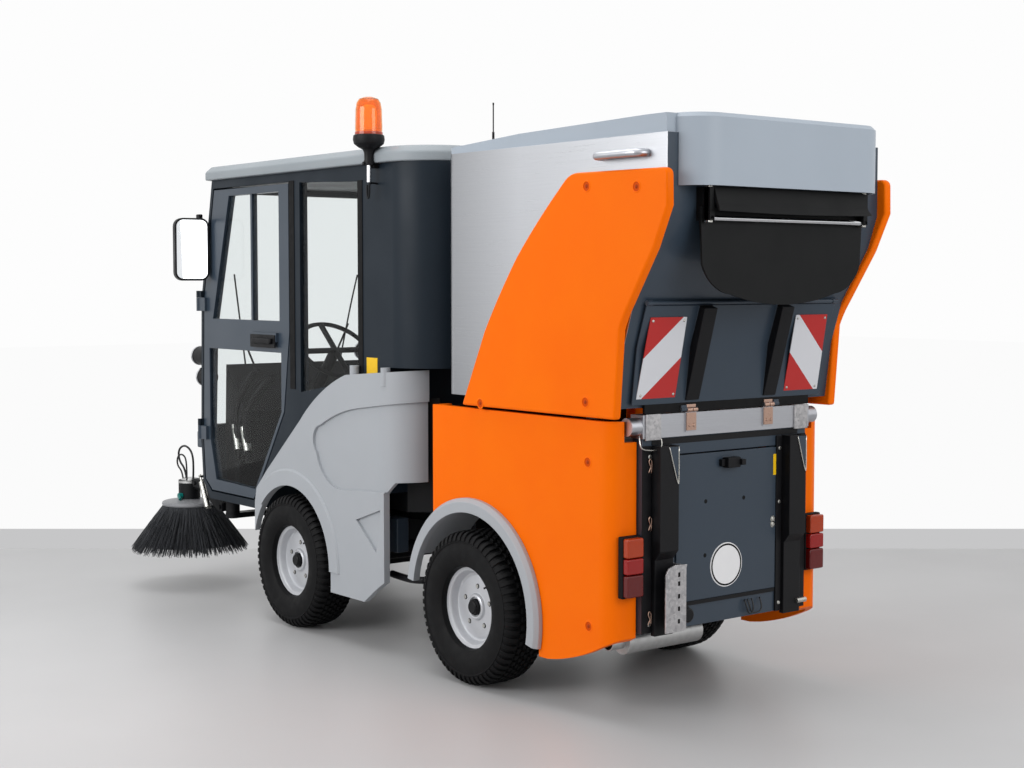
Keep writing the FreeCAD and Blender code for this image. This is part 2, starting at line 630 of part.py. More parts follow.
def sketch_on(body, plane, offset, outline):
    """A sketch on one of the body's own planes, moved along that plane's normal."""
    sketch = body.newObject("Sketcher::SketchObject", body.Name + "_sketch")
    role = plane.upper() + "_Plane"
    face = [item for item in body.Origin.OriginFeatures if item.Role == role][0]
    sketch.AttachmentSupport = [(face, "")]
    sketch.MapMode = "FlatFace"
    sketch.AttachmentOffset = Placement(Vector(0, 0, size(offset).value), Rotation())
    sketch.setExpression("AttachmentOffset.Base.z", size(offset).text)
    fill_sketch(sketch, outline)
    if sketch.solve() != 0:
        raise RuntimeError("the sketch of %s doesn't solve: %s" % (body.Name, sketch.getStatusString()))
    return sketch


def pad(name, plane, outline, low, high):
    """A body whose outline is drawn on a plane and filled between two heights over it."""
    body = DOC.addObject("PartDesign::Body", name)
    low, high = size(low), size(high)
    offset = -high if plane == "xz" else low
    feature_sketch = sketch_on(body, plane, offset, outline)
    feature = body.newObject("PartDesign::Pad", name + "_pad")
    feature.Profile = feature_sketch
    bind(feature, Length=high - low)
    DOC.recompute()
    return body


def pocket(body, plane, outline, low, high):
    """Cuts an outline out of a body between two heights over a plane."""
    low, high = size(low), size(high)
    offset = -low if plane == "xz" else high
    before = body.Shape.Volume
    feature_sketch = sketch_on(body, plane, offset, outline)
    feature = body.newObject("PartDesign::Pocket", body.Name + "_pocket")
    feature.Profile = feature_sketch
    bind(feature, Length=high - low)
    DOC.recompute()
    if body.Shape.Volume >= before:
        raise RuntimeError("the pocket in %s cuts nothing" % body.Name)
    return body


def turned(name, outline):
    """A body turned about the Y axis from an outline of (radius, y)."""
    body = DOC.addObject("PartDesign::Body", name)
    feature_sketch = sketch_on(body, "xy", 0, outline)
    feature = body.newObject("PartDesign::Revolution", name + "_turn")
    feature.Profile = feature_sketch
    feature.ReferenceAxis = (feature_sketch, ["V_Axis"])
    feature.Angle = 360
    DOC.recompute()
    return body


def round_edges(body, radius, chosen):
    """Rounds the edges of a body that a test picks."""
    base = body.Tip
    names = ["Edge%d" % (index + 1) for index, edge in enumerate(base.Shape.Edges) if chosen(edge)]
    if not names:
        raise RuntimeError("no edge to round in %s" % body.Name)
    feature = body.newObject("PartDesign::Fillet", body.Name + "_round")
    feature.Base = (base, names)
    bind(feature, Radius=radius)
    DOC.recompute()
    return body


def bevel_edges(body, amount, chosen):
    """Bevels the edges of a body that a test picks."""
    base = body.Tip
    names = ["Edge%d" % (index + 1) for index, edge in enumerate(base.Shape.Edges) if chosen(edge)]
    if not names:
        raise RuntimeError("no edge to bevel in %s" % body.Name)
    feature = body.newObject("PartDesign::Chamfer", body.Name + "_bevel")
    feature.Base = (base, names)
    bind(feature, Size=amount)
    DOC.recompute()
    return body


def upright_at(x=None, y=None):
    """Picks upright edges at a given place."""
    def chosen(edge):
        first, last = edge.Vertexes[0].Point, edge.Vertexes[-1].Point
        if abs(first.x - last.x) > 0.01 or abs(first.y - last.y) > 0.01 or edge.Length < 1:
            return False
        fits_x = x is None or abs(first.x - size(x).value) < 0.5
        return fits_x and (y is None or abs(abs(first.y) - size(y).value) < 0.5)
    return chosen


def rounded(low_u, low_v, high_u, high_v, radius):
    """Outline of a rectangle with rounded corners."""
    return [
        (low_u + radius, low_v),
        (high_u - radius, low_v, radius),
        (high_u, low_v + radius),
        (high_u, high_v - radius, radius),
        (high_u - radius, high_v),
        (low_u + radius, high_v, radius),
        (low_u, high_v - radius),
        (low_u, low_v + radius, radius),
    ]


def polar(body, feature, count):
    """Repeats a body's feature round its upright axis."""
    pattern = body.newObject("PartDesign::PolarPattern", body.Name + "_pattern")
    pattern.Originals = [feature]
    axis = [item for item in body.Origin.OriginFeatures if item.Role == "Z_Axis"][0]
    pattern.Axis = (axis, [""])
    pattern.Angle = 360
    bind(pattern, Occurrences=count)
    body.Tip = pattern
    DOC.recompute()
    return body


def make_wheels():
    """Four tyres on deep steel rims, each round its own stub of an axle."""
    half = D.tyre_width / 2
    seat = D.rim_radius + D.bead_gap
    side_top = D.tyre_radius - D.shoulder
    for corner, axle_x in (("front", D.wheelbase), ("rear", size(0))):
        for side_name, side in (("left", 1), ("right", -1)):
            tyre = turned("tyre_%s_%s" % (corner, side_name), [
                (seat, -half),
                (side_top, -half),
                (D.tyre_radius, D.shoulder - half),
                (D.tyre_radius, half - D.shoulder),
                (side_top, half),
                (seat, half),
            ])
            keep(tyre.Name, at(tyre, axle_x, D.track_half * side, D.tyre_radius))
            make_rim(corner, side_name, axle_x, side)


def make_rim(corner, side_name, axle_x, side):
    """A rolled rim whose disc sits deep behind the outer flange."""
    bead = (D.tyre_width / 2 + D.bead_gap) * side
    lip = bead + D.rim_wall * side
    barrel = D.rim_radius - D.rim_wall
    disc_out = D.disc_face * side
    disc_in = (D.disc_face - D.disc_wall) * side
    bore = D.hub_radius + D.hub_gap
    rim = turned("rim_%s_%s" % (corner, side_name), [
        (bore, disc_in),
        (barrel, disc_in),
        (barrel, -lip),
        (D.rim_flange, -lip),
        (D.rim_flange, -bead),
        (D.rim_radius, -bead),
        (D.rim_radius, bead),
        (D.rim_flange, bead),
        (D.rim_flange, lip),
        (barrel, lip),
        (barrel, disc_out),
        (bore, disc_out),
    ])
    keep(rim.Name, at(rim, axle_x, D.track_half * side, D.tyre_radius))


def make_axle(name, axle_x, height):
    """A beam axle with wheel motors and a stub through each wheel disc."""
    disc = D.track_half + D.disc_face
    drum_end = disc - D.drum_gap
    tube_end = drum_end - D.drum_wide / 2
    stub_end = disc + D.hub_reach
    tube = rod(name + "_tube", "y", (axle_x, -tube_end, height), D.axle_radius, tube_end * 2)
    stub = rod(name + "_stub", "y", (axle_x, -stub_end, height), D.hub_radius, stub_end * 2)
    drums = []
    for side_name, low, high in sides(drum_end - D.drum_wide, drum_end):
        drums.append(rod(name + "_drum_" + side_name, "y", (axle_x, low, height), D.drum_radius, high - low))
    keep(name, fuse(name, tube, stub, *drums))


def make_rear_chassis():
    """Ladder frame of the rear unit with the articulation fork and its pin."""
    top = D.rail_low + D.rail_high
    half = D.rail_wide / 2
    reach = D.rail_half + half
    back = D.skin - D.cover_rear
    front = D.cover_front - D.seam
    parts = []
    for side_name, low, high in sides(D.rail_half - half, reach):
        parts.append(box("rear_rail_" + side_name, (back, low, D.rail_low), (front, high, top)))
    for place in (back, -D.cross_x, front - D.rail_wide):
        parts.append(box("cross_member", (place, -reach, D.rail_low), (place + D.rail_wide, reach, top)))
    for low in (D.rail_low - D.fork_plate, top):
        parts.append(pad("fork_plate", "xy", [
            (front, -D.fork_half),
            (D.pivot_x, -D.fork_lobe, D.fork_lobe),
            (D.pivot_x + D.fork_lobe, 0, D.fork_lobe),
            (D.pivot_x, D.fork_lobe),
            (front, D.fork_half),
            (front - D.rail_wide, D.fork_half),
            (front - D.rail_wide, -D.fork_half),
        ], low, low + D.fork_plate))
    pin_low = D.rail_low - D.fork_plate
    parts.append(rod("pin", "z", (D.pivot_x, 0, pin_low), D.pin_radius, D.rail_high + D.fork_plate * 2))
    parts.append(box("axle_saddle", (-D.saddle_half, -reach, D.tyre_radius + D.axle_radius),
                     (D.saddle_half, reach, D.rail_low)))
    parts.append(make_bulkhead(reach + D.seam, top - half))
    parts += ram_foot()
    keep("rear_chassis", fuse("rear_chassis", *parts))
    keep("engine_block", box("engine_block", (-D.engine_rear, -D.engine_right, top),
                             (-D.engine_front, D.engine_left, D.engine_top)))


def make_bulkhead(waist, foot):
    """Front wall of the rear unit, wider above the front wings' sweep."""
    wall_x = D.cover_front - D.skin + D.seam
    wall_y = D.body_half - D.cover_return
    top = D.cover_top - D.sheet
    return pad("bulkhead", "yz", [
        (-waist, foot),
        (waist, foot),
        (waist, D.bulkhead_waist),
        (wall_y, D.bulkhead_waist),
        (wall_y, top),
        (-wall_y, top),
        (-wall_y, D.bulkhead_waist),
        (-waist, D.bulkhead_waist),
    ], wall_x, wall_x + D.sheet)


def ram_foot():
    """Two cheek plates with the ram's lower pin, on a cradle that reaches the left rail."""
    half = D.ram_ear_half
    near = D.ram_y - D.ram_radius - D.run_gap
    far = D.ram_y + D.ram_radius + D.run_gap
    parts = []
    for number, low in enumerate((near - D.ram_ear, far)):
        parts.append(box("ram_ear_%d" % number, (-D.ram_x - half, low, D.rail_low + D.ram_ear),
                         (-D.ram_x + half, low + D.ram_ear, D.ram_z + half * 0.8)))
    parts.append(box("ram_cradle", (-D.ram_x - half, near - D.ram_ear, D.rail_low),
                     (-D.ram_x + half, D.rail_half, D.rail_low + D.ram_ear + D.lap)))
    parts.append(rod("ram_pin", "y", (-D.ram_x, near - D.ram_ear, D.ram_z), D.ram_pin,
                     far - near + D.ram_ear * 2))
    return parts


def wheel_arch(axle_x, radius, low):
    """Outline of the opening over a wheel, in side view."""
    return [
        (axle_x - radius, low),
        (axle_x - radius, D.tyre_radius, -radius),
        (axle_x, D.tyre_radius + radius, -radius),
        (axle_x + radius, D.tyre_radius),
        (axle_x + radius, low),
    ]


def make_lower_covers():
    """Painted side panels of the rear unit, open round the wheel and wrapped round the tail."""
    outer = D.body_half
    inner = outer - D.skin
    rear = -D.cover_rear
    lip_y = outer - D.cover_lip
    cover = pad("lower_cover_left", "xy", [
        (D.cover_front, outer),
        (rear + D.cover_corner, outer, D.cover_corner),
        (rear, outer - D.cover_corner),
        (rear, lip_y),
        (rear + D.skin, lip_y),
        (rear + D.skin, outer - D.cover_corner, D.skin - D.cover_corner),
        (rear + D.cover_corner, inner),
        (D.cover_front - D.skin, inner),
        (D.cover_front - D.skin, outer - D.cover_return),
        (D.cover_front, outer - D.cover_return),
    ], D.cover_low, D.cover_top)
    arch = D.fender_radius - D.arch_lap
    foot = D.cover_low - PAST
    across = (lip_y - PAST, outer + PAST)
    pocket(cover, "xz", wheel_arch(size(0), arch, foot), *across)
    pocket(cover, "xz", [
        (-arch - 1, foot, -D.cover_sweep),
        (rear - PAST, D.cover_low + D.cover_rise),
        (rear - PAST, foot),
    ], *across)
    cap_end = D.beam_half + D.beam_cap + D.run_gap
    pocket(cover, "yz", [
        (lip_y - PAST, D.beam_low - D.run_gap * 2),
        (cap_end, D.beam_low - D.run_gap * 2),
        (cap_end, D.cover_top + PAST),
        (lip_y - PAST, D.cover_top + PAST),
    ], rear - PAST, rear + D.skin + PAST)
    keep("lower_cover_left", cover)
    keep("lower_cover_right", mirror("lower_cover_right", cover))


def ring_part(name, radius_in, radius_out, centre_x, turns, low, high):
    """Part of a ring round an axle, between two directions in degrees and two planes across."""
    first, last = [math.radians(turn) for turn in turns]

    def point(radius, angle):
        across, up = round(math.cos(angle), 5), round(math.sin(angle), 5)
        return (radius * across + centre_x, radius * up + D.tyre_radius)

    half_turn = (first + last) / 2
    return pad(name, "xz", [
        (*point(radius_in, first), radius_in),
        (*point(radius_in, half_turn), radius_in),
        point(radius_in, last),
        (*point(radius_out, last), -radius_out),
        (*point(radius_out, half_turn), -radius_out),
        point(radius_out, first),
    ], low, high)


def outer_rim(radius, plane):
    """Picks a ring's outer edge on the plane that faces outwards."""
    def chosen(edge):
        curved = edge.Curve.TypeId == "Part::GeomCircle" and abs(edge.Curve.Radius - radius.value) < 0.5
        return curved and edge.Vertexes[0].Point.y > plane.value - 0.5
    return chosen


def make_rear_fenders():
    """Flared arch mouldings over the rear wheels, each with its wheel housing."""
    outer = D.fender_radius
    inner = outer - D.fender_band
    band = ring_part("fender_band", inner, outer, size(0), FENDER_TURN, D.body_half, D.wing_half)
    bevel_edges(band, D.fender_bevel, outer_rim(outer, D.wing_half))
    tuck = inner + D.seam
    liner = ring_part("fender_liner", tuck, tuck + D.plate, size(0), LINER_TURN,
                      D.rail_half + D.liner_near, D.body_half + D.lap)
    left = fuse("rear_fender_left", band, liner)
    keep("rear_fender_left", left)
    keep("rear_fender_right", mirror("rear_fender_right", left))


def make_tail():
    """Tail frame with its lift-out panel, guide channels and lamps."""
    inner_x = D.skin - D.cover_rear
    frame_y = D.body_half - D.cover_lip - D.seam
    panel_back = D.panel_proud - D.panel_thick
    parts = []
    for side_name, low, high in sides(D.tail_half + D.seam, frame_y):
        parts.append(box("tail_post_" + side_name, (-D.tail_x, low, D.tail_foot),
                         (inner_x, high, D.beam_low)))
    for side_name, low, high in sides(D.tail_half - D.ledge, D.tail_half + D.sheet):
        parts.append(box("panel_ledge_" + side_name, (-D.tail_x - panel_back, low, D.tail_low - D.sheet),
                         (-D.tail_x - panel_back + D.plate, high, D.tail_top + D.sheet)))
    for name, low, high in (("tail_head", D.tail_top + D.seam, D.beam_low),
                            ("tail_sole", D.tail_foot, D.tail_low - D.seam)):
        parts.append(box(name, (-D.tail_x, -frame_y, low), (inner_x, frame_y, high)))
    keep("tail_frame", fuse("tail_frame", *parts))
    face = -D.tail_x - D.panel_proud
    plate = box("panel_plate", (face, -D.tail_half, D.tail_low),
                (face + D.panel_thick, D.tail_half, D.tail_top))
    latch_top = D.tail_top - D.latch_drop
    latch = pad("panel_latch", "xz", [
        (face + D.lap, latch_top),
        (face - D.latch_deep, latch_top),
        (face - D.latch_deep, latch_top - D.latch_high / 2),
        (face + D.lap, latch_top - D.latch_high),
    ], -D.latch_half, D.latch_half)
    keep("tail_panel", fuse("tail_panel", plate, latch))
    make_channels()
    lamp_x = -D.cover_rear
    lamp_out = D.body_half - D.lamp_inset
    lamp_top = D.lamp_low + D.lamp_high
    lamp_back = lamp_x - D.lamp_deep
    lamp = pad("tail_lamp", "yz", [
        (lamp_out - D.lamp_wide, D.lamp_low),
        (lamp_out, D.lamp_low),
        (lamp_out, lamp_top),
        (lamp_out - D.lamp_wide, lamp_top),
    ], lamp_back, lamp_x)
    bevel_edges(lamp, D.lamp_bevel, lambda edge: edge.BoundBox.XMax < lamp_back.value + 0.5)
    keep("tail_lamps", both("tail_lamps", lamp))


def make_channels():
    """Two upright guide channels on the tail, open at the top and stepped back below."""
    face = -D.tail_x
    top = D.channel_low + D.channel_high
    far = D.channel_near + D.channel_wide
    channel = pad("guide_channel", "xz", [
        (face, D.channel_low),
        (face, top),
        (face - D.channel_deep, top),
        (face - D.channel_deep, D.channel_step + D.channel_slope),
        (face - D.channel_shallow, D.channel_step),
        (face - D.channel_shallow, D.channel_low),
    ], D.channel_near, far)
    wall = D.sheet
    pocket(channel, "yz", [
        (D.channel_near + wall, top - D.channel_mouth),
        (far - wall, top - D.channel_mouth),
        (far - wall, top + PAST),
        (D.channel_near + wall, top + PAST),
    ], face - D.channel_deep + wall, face - wall)
    keep("guide_channels", both("guide_channels", channel))


def make_beam():
    """Cross beam that carries the hopper's hinges, with its round end caps."""
    back = -D.beam_axis_x + D.beam_proud
    top = D.beam_low + D.beam_high
    cap_end = D.beam_half + D.beam_cap
    parts = [
        box("beam_tube", (back, -D.beam_half, D.beam_low), (back + D.beam_deep, D.beam_half, top)),
        rod("beam_caps", "y", (back + D.beam_deep / 2, -cap_end, D.beam_low + D.beam_high / 2),
            D.beam_deep / 2, cap_end * 2),
    ]
    for side_name, low, high in sides(D.leaf_near, D.leaf_near + D.leaf_wide):
        parts.append(box("leaf_" + side_name, (back - D.leaf_thick, low, D.beam_low + D.leaf_foot),
                         (back, high, D.beam_axis_z - D.lap)))
        parts.append(rod("knuckle_" + side_name, "y", (-D.beam_axis_x, low, D.beam_axis_z),
                         D.knuckle_radius, high - low))
    keep("hinge_beam", fuse("hinge_beam", *parts))


def make_tow_bracket():
    """Galvanised angle with the hole for a lashing or towing pin."""
    face = -D.tail_x
    half = D.tow_wall / 2
    angle = pad("tow_angle", "xy", [
        (face, D.tow_y + D.tow_wall),
        (face, D.tow_y - half),
        (face - D.tow_reach, D.tow_y - half),
        (face - D.tow_reach, D.tow_y + half),
        (face - D.tow_wall, D.tow_y + half),
        (face - D.tow_wall, D.tow_y + D.tow_wall),
    ], D.tow_low, D.tow_low + D.tow_high)
    hole = rod("tow_hole", "y", (face - D.tow_hole_x, D.tow_y - D.tow_wall, D.tow_hole_z),
               D.tow_bore, D.tow_wall * 2)
    keep("tow_bracket", cut("tow_bracket", angle, hole))


def make_silencer():
    """Exhaust silencer across the tail, hung from the frame."""
    middle = D.silencer_ahead - D.cover_rear
    height = D.silencer_z
    can_end = D.silencer_near + D.silencer_long
    pipe_end = can_end + D.pipe_reach
    can = rod("silencer_can", "y", (middle, D.silencer_near, height), D.silencer_radius, D.silencer_long)
    pipe = rod("silencer_pipe", "y", (middle, can_end, height), D.pipe_radius, D.pipe_reach)
    bore = rod("silencer_bore", "y", (middle, can_end, height), D.pipe_radius - D.pipe_wall,
               pipe_end - can_end + PAST)
    hanger = box("silencer_hanger", (middle - D.hanger_half, D.hanger_y, height + D.silencer_radius * 0.6),
                 (middle + D.hanger_half, D.hanger_y + D.sheet, D.rail_low))
    keep("silencer", cut("silencer", fuse("silencer_body", can, pipe, hanger), bore))


def hopper_outline(inset, floor, top):
    """Side outline of the hopper, moved inwards by a wall."""
    rear = [(x + inset, z) for x, z in D.hopper_rear[1:]]
    foot = D.hopper_rear[0][0] + inset
    return [
        (D.hopper_front - inset, floor),
        (D.hopper_front - inset, top),
        (rear[-1][0], top),
        *rear[::-1],
        (foot, floor),
    ]


def make_hopper():
    """Sheet hopper open at the rear, with its grab handle, ram lugs and hinge knuckles."""
    low = D.hopper_low
    wall = D.hopper_wall
    half = D.hopper_half
    tank = pad("tank_outside", "xz", hopper_outline(size(0), low, D.hopper_top), -half, half)
    round_edges(tank, D.hopper_corner, upright_at(D.hopper_front, half))
    inside = pad("tank_inside", "xz", hopper_outline(wall, low + wall, D.hopper_top + PAST),
                 wall - half, half - wall)
    round_edges(inside, D.hopper_corner - wall, upright_at(D.hopper_front - wall, half - wall))
    mouth_half = D.hatch_half - D.mouth_lap
    mouth = box("tank_mouth", (-D.hatch_axis_x - D.mouth_lap, -mouth_half, low + D.mouth_sill),
                (-D.tail_x + D.mouth_lap, mouth_half, D.hatch_axis_z - D.mouth_lap / 2))
    shell = cut("tank_shell", tank, inside, mouth)
    keep("hopper_tank", fuse("hopper_tank", shell, grab_handle(), *ram_lugs(), *hopper_knuckles()))
    make_hopper_roof()
    wing = pad("hopper_wing_left", "xz", D.hopper_wing, half + D.fit_gap, half + D.wing_out)
    keep("hopper_wing_left", wing)
    keep("hopper_wing_right", mirror("hopper_wing_right", wing))
    make_shield()
    make_hatch()


def grab_handle():
    """Moulded handle on the hopper's left side."""
    side = D.hopper_half
    root = side - D.lap
    grip = side + D.grab_out
    inner = grip - D.grab_bar
    ends = (-D.grab_front, -D.grab_rear)
    return pad("grab_handle", "xy", [
        (ends[0], root),
        (ends[0], grip),
        (ends[1], grip),
        (ends[1], root),
        (ends[1] + D.grab_leg, root),
        (ends[1] + D.grab_leg, inner),
        (ends[0] - D.grab_leg, inner),
        (ends[0] - D.grab_leg, root),
    ], D.grab_low, D.grab_low + D.grab_bar)


def ram_lugs():
    """Pair of lugs under the hopper floor that take the ram's eye."""
    lugs = []
    for number, place in enumerate((-D.ram_lug_gap - D.ram_ear, D.ram_lug_gap)):
        lugs.append(box("ram_lug_%d" % number,
                        (-D.ram_eye_x - D.ram_lug_half, D.ram_y + place, D.ram_eye_z - D.ram_lug_drop),
                        (-D.ram_eye_x + D.ram_lug_half, D.ram_y + place + D.ram_ear, D.hopper_low + D.lap)))
    return lugs


def hopper_knuckles():
    """Hinge knuckles with their leaves, below for the beam and above for the hatch."""
    parts = []
    near = D.leaf_near + D.leaf_wide + D.fit_gap
    for side_name, low, high in sides(near, near + D.knuckle_long):
        parts.append(rod("hopper_knuckle_" + side_name, "y", (-D.beam_axis_x, low, D.beam_axis_z),
                         D.knuckle_radius, high - low))
        parts.append(box("hopper_leaf_" + side_name, (-D.beam_axis_x - D.leaf_thick, low, D.beam_axis_z),
                         (D.hopper_rear[0][0] + D.plate, high, D.hopper_low + D.lap)))
    near = D.hatch_bar_half + D.fit_gap
    for side_name, low, high in sides(near, near + D.knuckle_long):
        parts.append(rod("hatch_knuckle_" + side_name, "y", (-D.hatch_axis_x, low, D.hatch_axis_z),
                         D.hatch_knuckle, high - low))
        parts.append(box("hatch_leaf_" + side_name, (-D.hatch_axis_x - D.lap, low, D.hatch_axis_z),
                         (-D.hatch_axis_x + D.leaf_reach, high, D.hatch_axis_z + D.plate)))
    return parts


def make_shield():
    """Rubber splash shield with the flap, wash rail and ties behind the hopper's upper edge."""
    sheet_x = -D.shield_x
    shield = pad("shield_sheet", "yz", [
        (-D.shield_half, D.shield_top),
        (D.shield_narrow - D.shield_half, D.shield_bend, D.shield_turn),
        (-D.shield_flat, D.shield_low, D.shield_sag),
        (D.shield_flat, D.shield_low, D.shield_turn),
        (D.shield_half - D.shield_narrow, D.shield_bend),
        (D.shield_half, D.shield_top),
    ], sheet_x, sheet_x + D.plate)
    tie_out = D.shield_half - D.shield_narrow
    flap_half = tie_out - D.flap_inset + D.lap
    flap = pad("canopy_flap", "xz", D.flap_side, -flap_half, flap_half)
    rail = rod("wash_rail", "y", (-D.rail_x, -tie_out, D.rail_z), D.rail_rod, tie_out * 2)
    ties = []
    for side_name, low, high in sides(tie_out - D.flap_inset, tie_out):
        ties.append(box("shield_tie_" + side_name, (-D.tie_x, low, D.rail_z - D.rail_rod),
                        (D.hopper_rear[-1][0] - D.fit_gap, high, D.canopy_low - D.seam)))
    keep("hopper_shield", fuse("hopper_shield", shield, flap, rail, *ties))


def make_hopper_roof():
    """Moulded cover over the hopper, which ends in a hollow canopy at the rear."""
    top = D.roof_top
    rear = -D.canopy_rear
    wall = D.canopy_wall
    side = D.hopper_half - D.roof_inset
    front = D.hopper_front + D.seam
    rest = D.hopper_top + D.fit_gap
    slab_rear = -D.roof_rear
    cover = pad("roof_slab", "xz", [
        (front, rest),
        (front - D.roof_nose, rest + D.roof_edge),
        (-D.roof_bend, top - D.roof_fall),
        (-D.roof_level, top),
        (slab_rear, top),
        (slab_rear, rest),
    ], -side, side)
    plan = pad("roof_plan", "xy", [
        (front - D.hopper_corner, side),
        (rear, side),
        (rear, -side),
        (front - D.hopper_corner, -side, D.hopper_corner),
        (front, -side + D.hopper_corner),
        (front, side - D.hopper_corner, D.hopper_corner),
    ], D.hopper_top, top + PAST)
    slab = common("roof_cover", cover, plan)
    canopy = canopy_plan("canopy_outside", size(0), slab_rear + D.canopy_lap, D.canopy_low, top + D.lap)
    bevel_edges(canopy, D.canopy_bevel, lambda edge: edge.BoundBox.ZMin > top.value + 1)
    hollow = canopy_plan("canopy_inside", wall, slab_rear + D.canopy_lap - wall, D.canopy_low - PAST,
                         top - wall * 2)
    notch = box("canopy_notch", (D.hopper_rear[-1][0] - 1, -D.hopper_half, D.canopy_low - PAST),
                (slab_rear + D.canopy_lap + PAST, D.hopper_half, rest))
    keep("hopper_roof", cut("hopper_roof", fuse("roof_body", slab, canopy), hollow, notch))


def canopy_plan(name, inset, front, low, high):
    """The canopy's round-cornered block, or the space inside it when inset by the wall."""
    rear = inset - D.canopy_rear
    half = D.canopy_half - inset
    turn = D.canopy_corner - inset
    return pad(name, "xy", [
        (front, half),
        (rear + turn, half, turn),
        (rear, half - turn),
        (rear, turn - half, turn),
        (rear + turn, -half),
        (front, -half),
    ], low, high)


def make_hatch():
    """Discharge hatch hung from its bar, with two stiffening channels."""
    hatch = pad("hatch_sheet", "xz", D.hatch_side, -D.hatch_half, D.hatch_half)
    ribs = []
    for side_name, low, high in sides(D.rib_place - D.rib_half, D.rib_place + D.rib_half):
        ribs.append(pad("hatch_rib_" + side_name, "xz", D.rib_side, low, high))
    bar = rod("hatch_hinge", "y", (-D.hatch_axis_x, -D.hatch_bar_half, D.hatch_axis_z),
              D.knuckle_radius, D.hatch_bar_half * 2)
    keep("hopper_hatch", fuse("hopper_hatch", hatch, bar, *ribs))


def make_ram():
    """Tipping ram: a barrel on the frame and a rod on the hopper, drawn upright and then leaned back."""
    back = D.ram_eye_x - D.ram_x
    rise = D.ram_eye_z - D.ram_z
    length = size(math.hypot(back.value, rise.value))
    lean = Rotation(Vector(0, 1, 0), -math.degrees(math.atan2(back.value, rise.value)))
    foot_wide = (D.ram_radius - D.lap) * 2
    tube = rod("ram_tube", "z", (0, 0, D.ram_start), D.ram_radius, D.ram_long)
    foot = rod("ram_eye", "y", (0, -foot_wide / 2, 0), D.ram_radius - D.lap, foot_wide)
    bore = rod("ram_bore", "z", (0, 0, D.ram_start * 2), D.rod_radius + D.hub_gap, D.ram_long)
    foot_bore = rod("ram_foot_bore", "y", (0, -foot_wide, 0), D.ram_pin + D.hub_gap, foot_wide * 2)
    barrel = cut("ram_barrel", fuse("ram_barrel_body", tube, foot), bore, foot_bore)
    piston_start = D.ram_start * 2 + D.run_gap
    piston = rod("ram_piston", "z", (0, 0, piston_start), D.rod_radius, length - piston_start - D.rod_radius)
    eye_half = D.ram_lug_gap - D.lap
    eye = rod("ram_rod_eye", "y", (0, -eye_half, length), D.rod_eye, eye_half * 2)
    for name, thing in (("ram_barrel", barrel), ("ram_rod", fuse("ram_rod", piston, eye))):
        thing.Placement = Placement(Vector(), lean)
        keep(name, at(thing, -D.ram_x, D.ram_y, D.ram_z))


def make_front_chassis():
    """Front frame with the articulation neck, and outriggers for the brush arms."""
    low = D.rail_low + D.fork_gap
    top = D.rail_low + D.rail_high - D.fork_gap
    half = D.rail_wide / 2
    middle = D.front_rail_half
    reach = middle + half
    root = D.pivot_x + D.neck_long
    rail_back = root - D.rail_wide - D.neck_lap
    parts = [pad("neck", "xy", [
        (D.pivot_x, -D.neck_lobe),
        (root, -D.neck_half),
        (root, D.neck_half),
        (D.pivot_x, D.neck_lobe, D.neck_lobe),
        (D.pivot_x - D.neck_lobe, 0, D.neck_lobe),
    ], low, top)]
    for side_name, near, far in sides(middle - half, reach):
        parts.append(box("front_rail_" + side_name, (rail_back, near, low),
                         (D.swing_x + D.rail_past, far, top)))
    for place in (rail_back, D.wheelbase + D.front_cross_x, D.swing_x - D.rail_wide + D.rail_past):
        parts.append(box("front_cross", (place, -reach, low), (place + D.rail_wide, reach, top)))
    plate_low = D.rail_low + D.lap
    for side_name, near, far in sides(reach - D.lap, D.swing_y):
        parts.append(box("outrigger_" + side_name, (D.swing_x - half, near, plate_low),
                         (D.swing_x + half, far, plate_low + D.outrigger)))
    for side_name, side in (("left", 1), ("right", -1)):
        pin_y = D.swing_y * side
        foot = (D.swing_x, pin_y, plate_low)
        parts.append(rod("swing_lug_" + side_name, "z", foot, D.swing_lug, D.outrigger))
        parts.append(rod("swing_pin_" + side_name, "z", foot, D.swing_pin, D.outrigger + half * 2))
    parts.append(box("front_saddle", (D.wheelbase - D.saddle_half, -reach, D.tyre_radius + D.axle_radius),
                     (D.wheelbase + D.saddle_half, reach, low + D.lap)))
    mount_half = half - D.run_gap
    for side_name, near, far in sides(middle - mount_half, middle + mount_half):
        parts.append(box("cab_mount_" + side_name, (root, near, top - D.lap),
                         (root + D.rail_wide, far, D.cab_deck - D.fit_gap)))
    bore = rod("neck_bore", "z", (D.pivot_x, 0, low - PAST), D.pin_radius + D.pin_gap, D.rail_high + PAST * 2)
    keep("front_chassis", cut("front_chassis", fuse("front_body", *parts), bore))


def wing_plan(front, near, far):
    """Plan of a front wing between two depths below its outer face, turned in at the rear."""
    across, along = math.sin(math.radians(WING_END)), math.cos(math.radians(WING_END))
    turn_x = D.wing_tail + D.wing_turn * along
    turn_y = D.wing_half - D.wing_turn
    outer, inner = D.wing_turn - near, D.wing_turn - far
    return [
        (front, turn_y + outer),
        (turn_x, turn_y + outer, outer),
        (turn_x - outer * along, turn_y + outer * across),
        (turn_x - inner * along, turn_y + inner * across, -inner),
        (turn_x, turn_y + inner),
        (front, turn_y + inner),
    ]


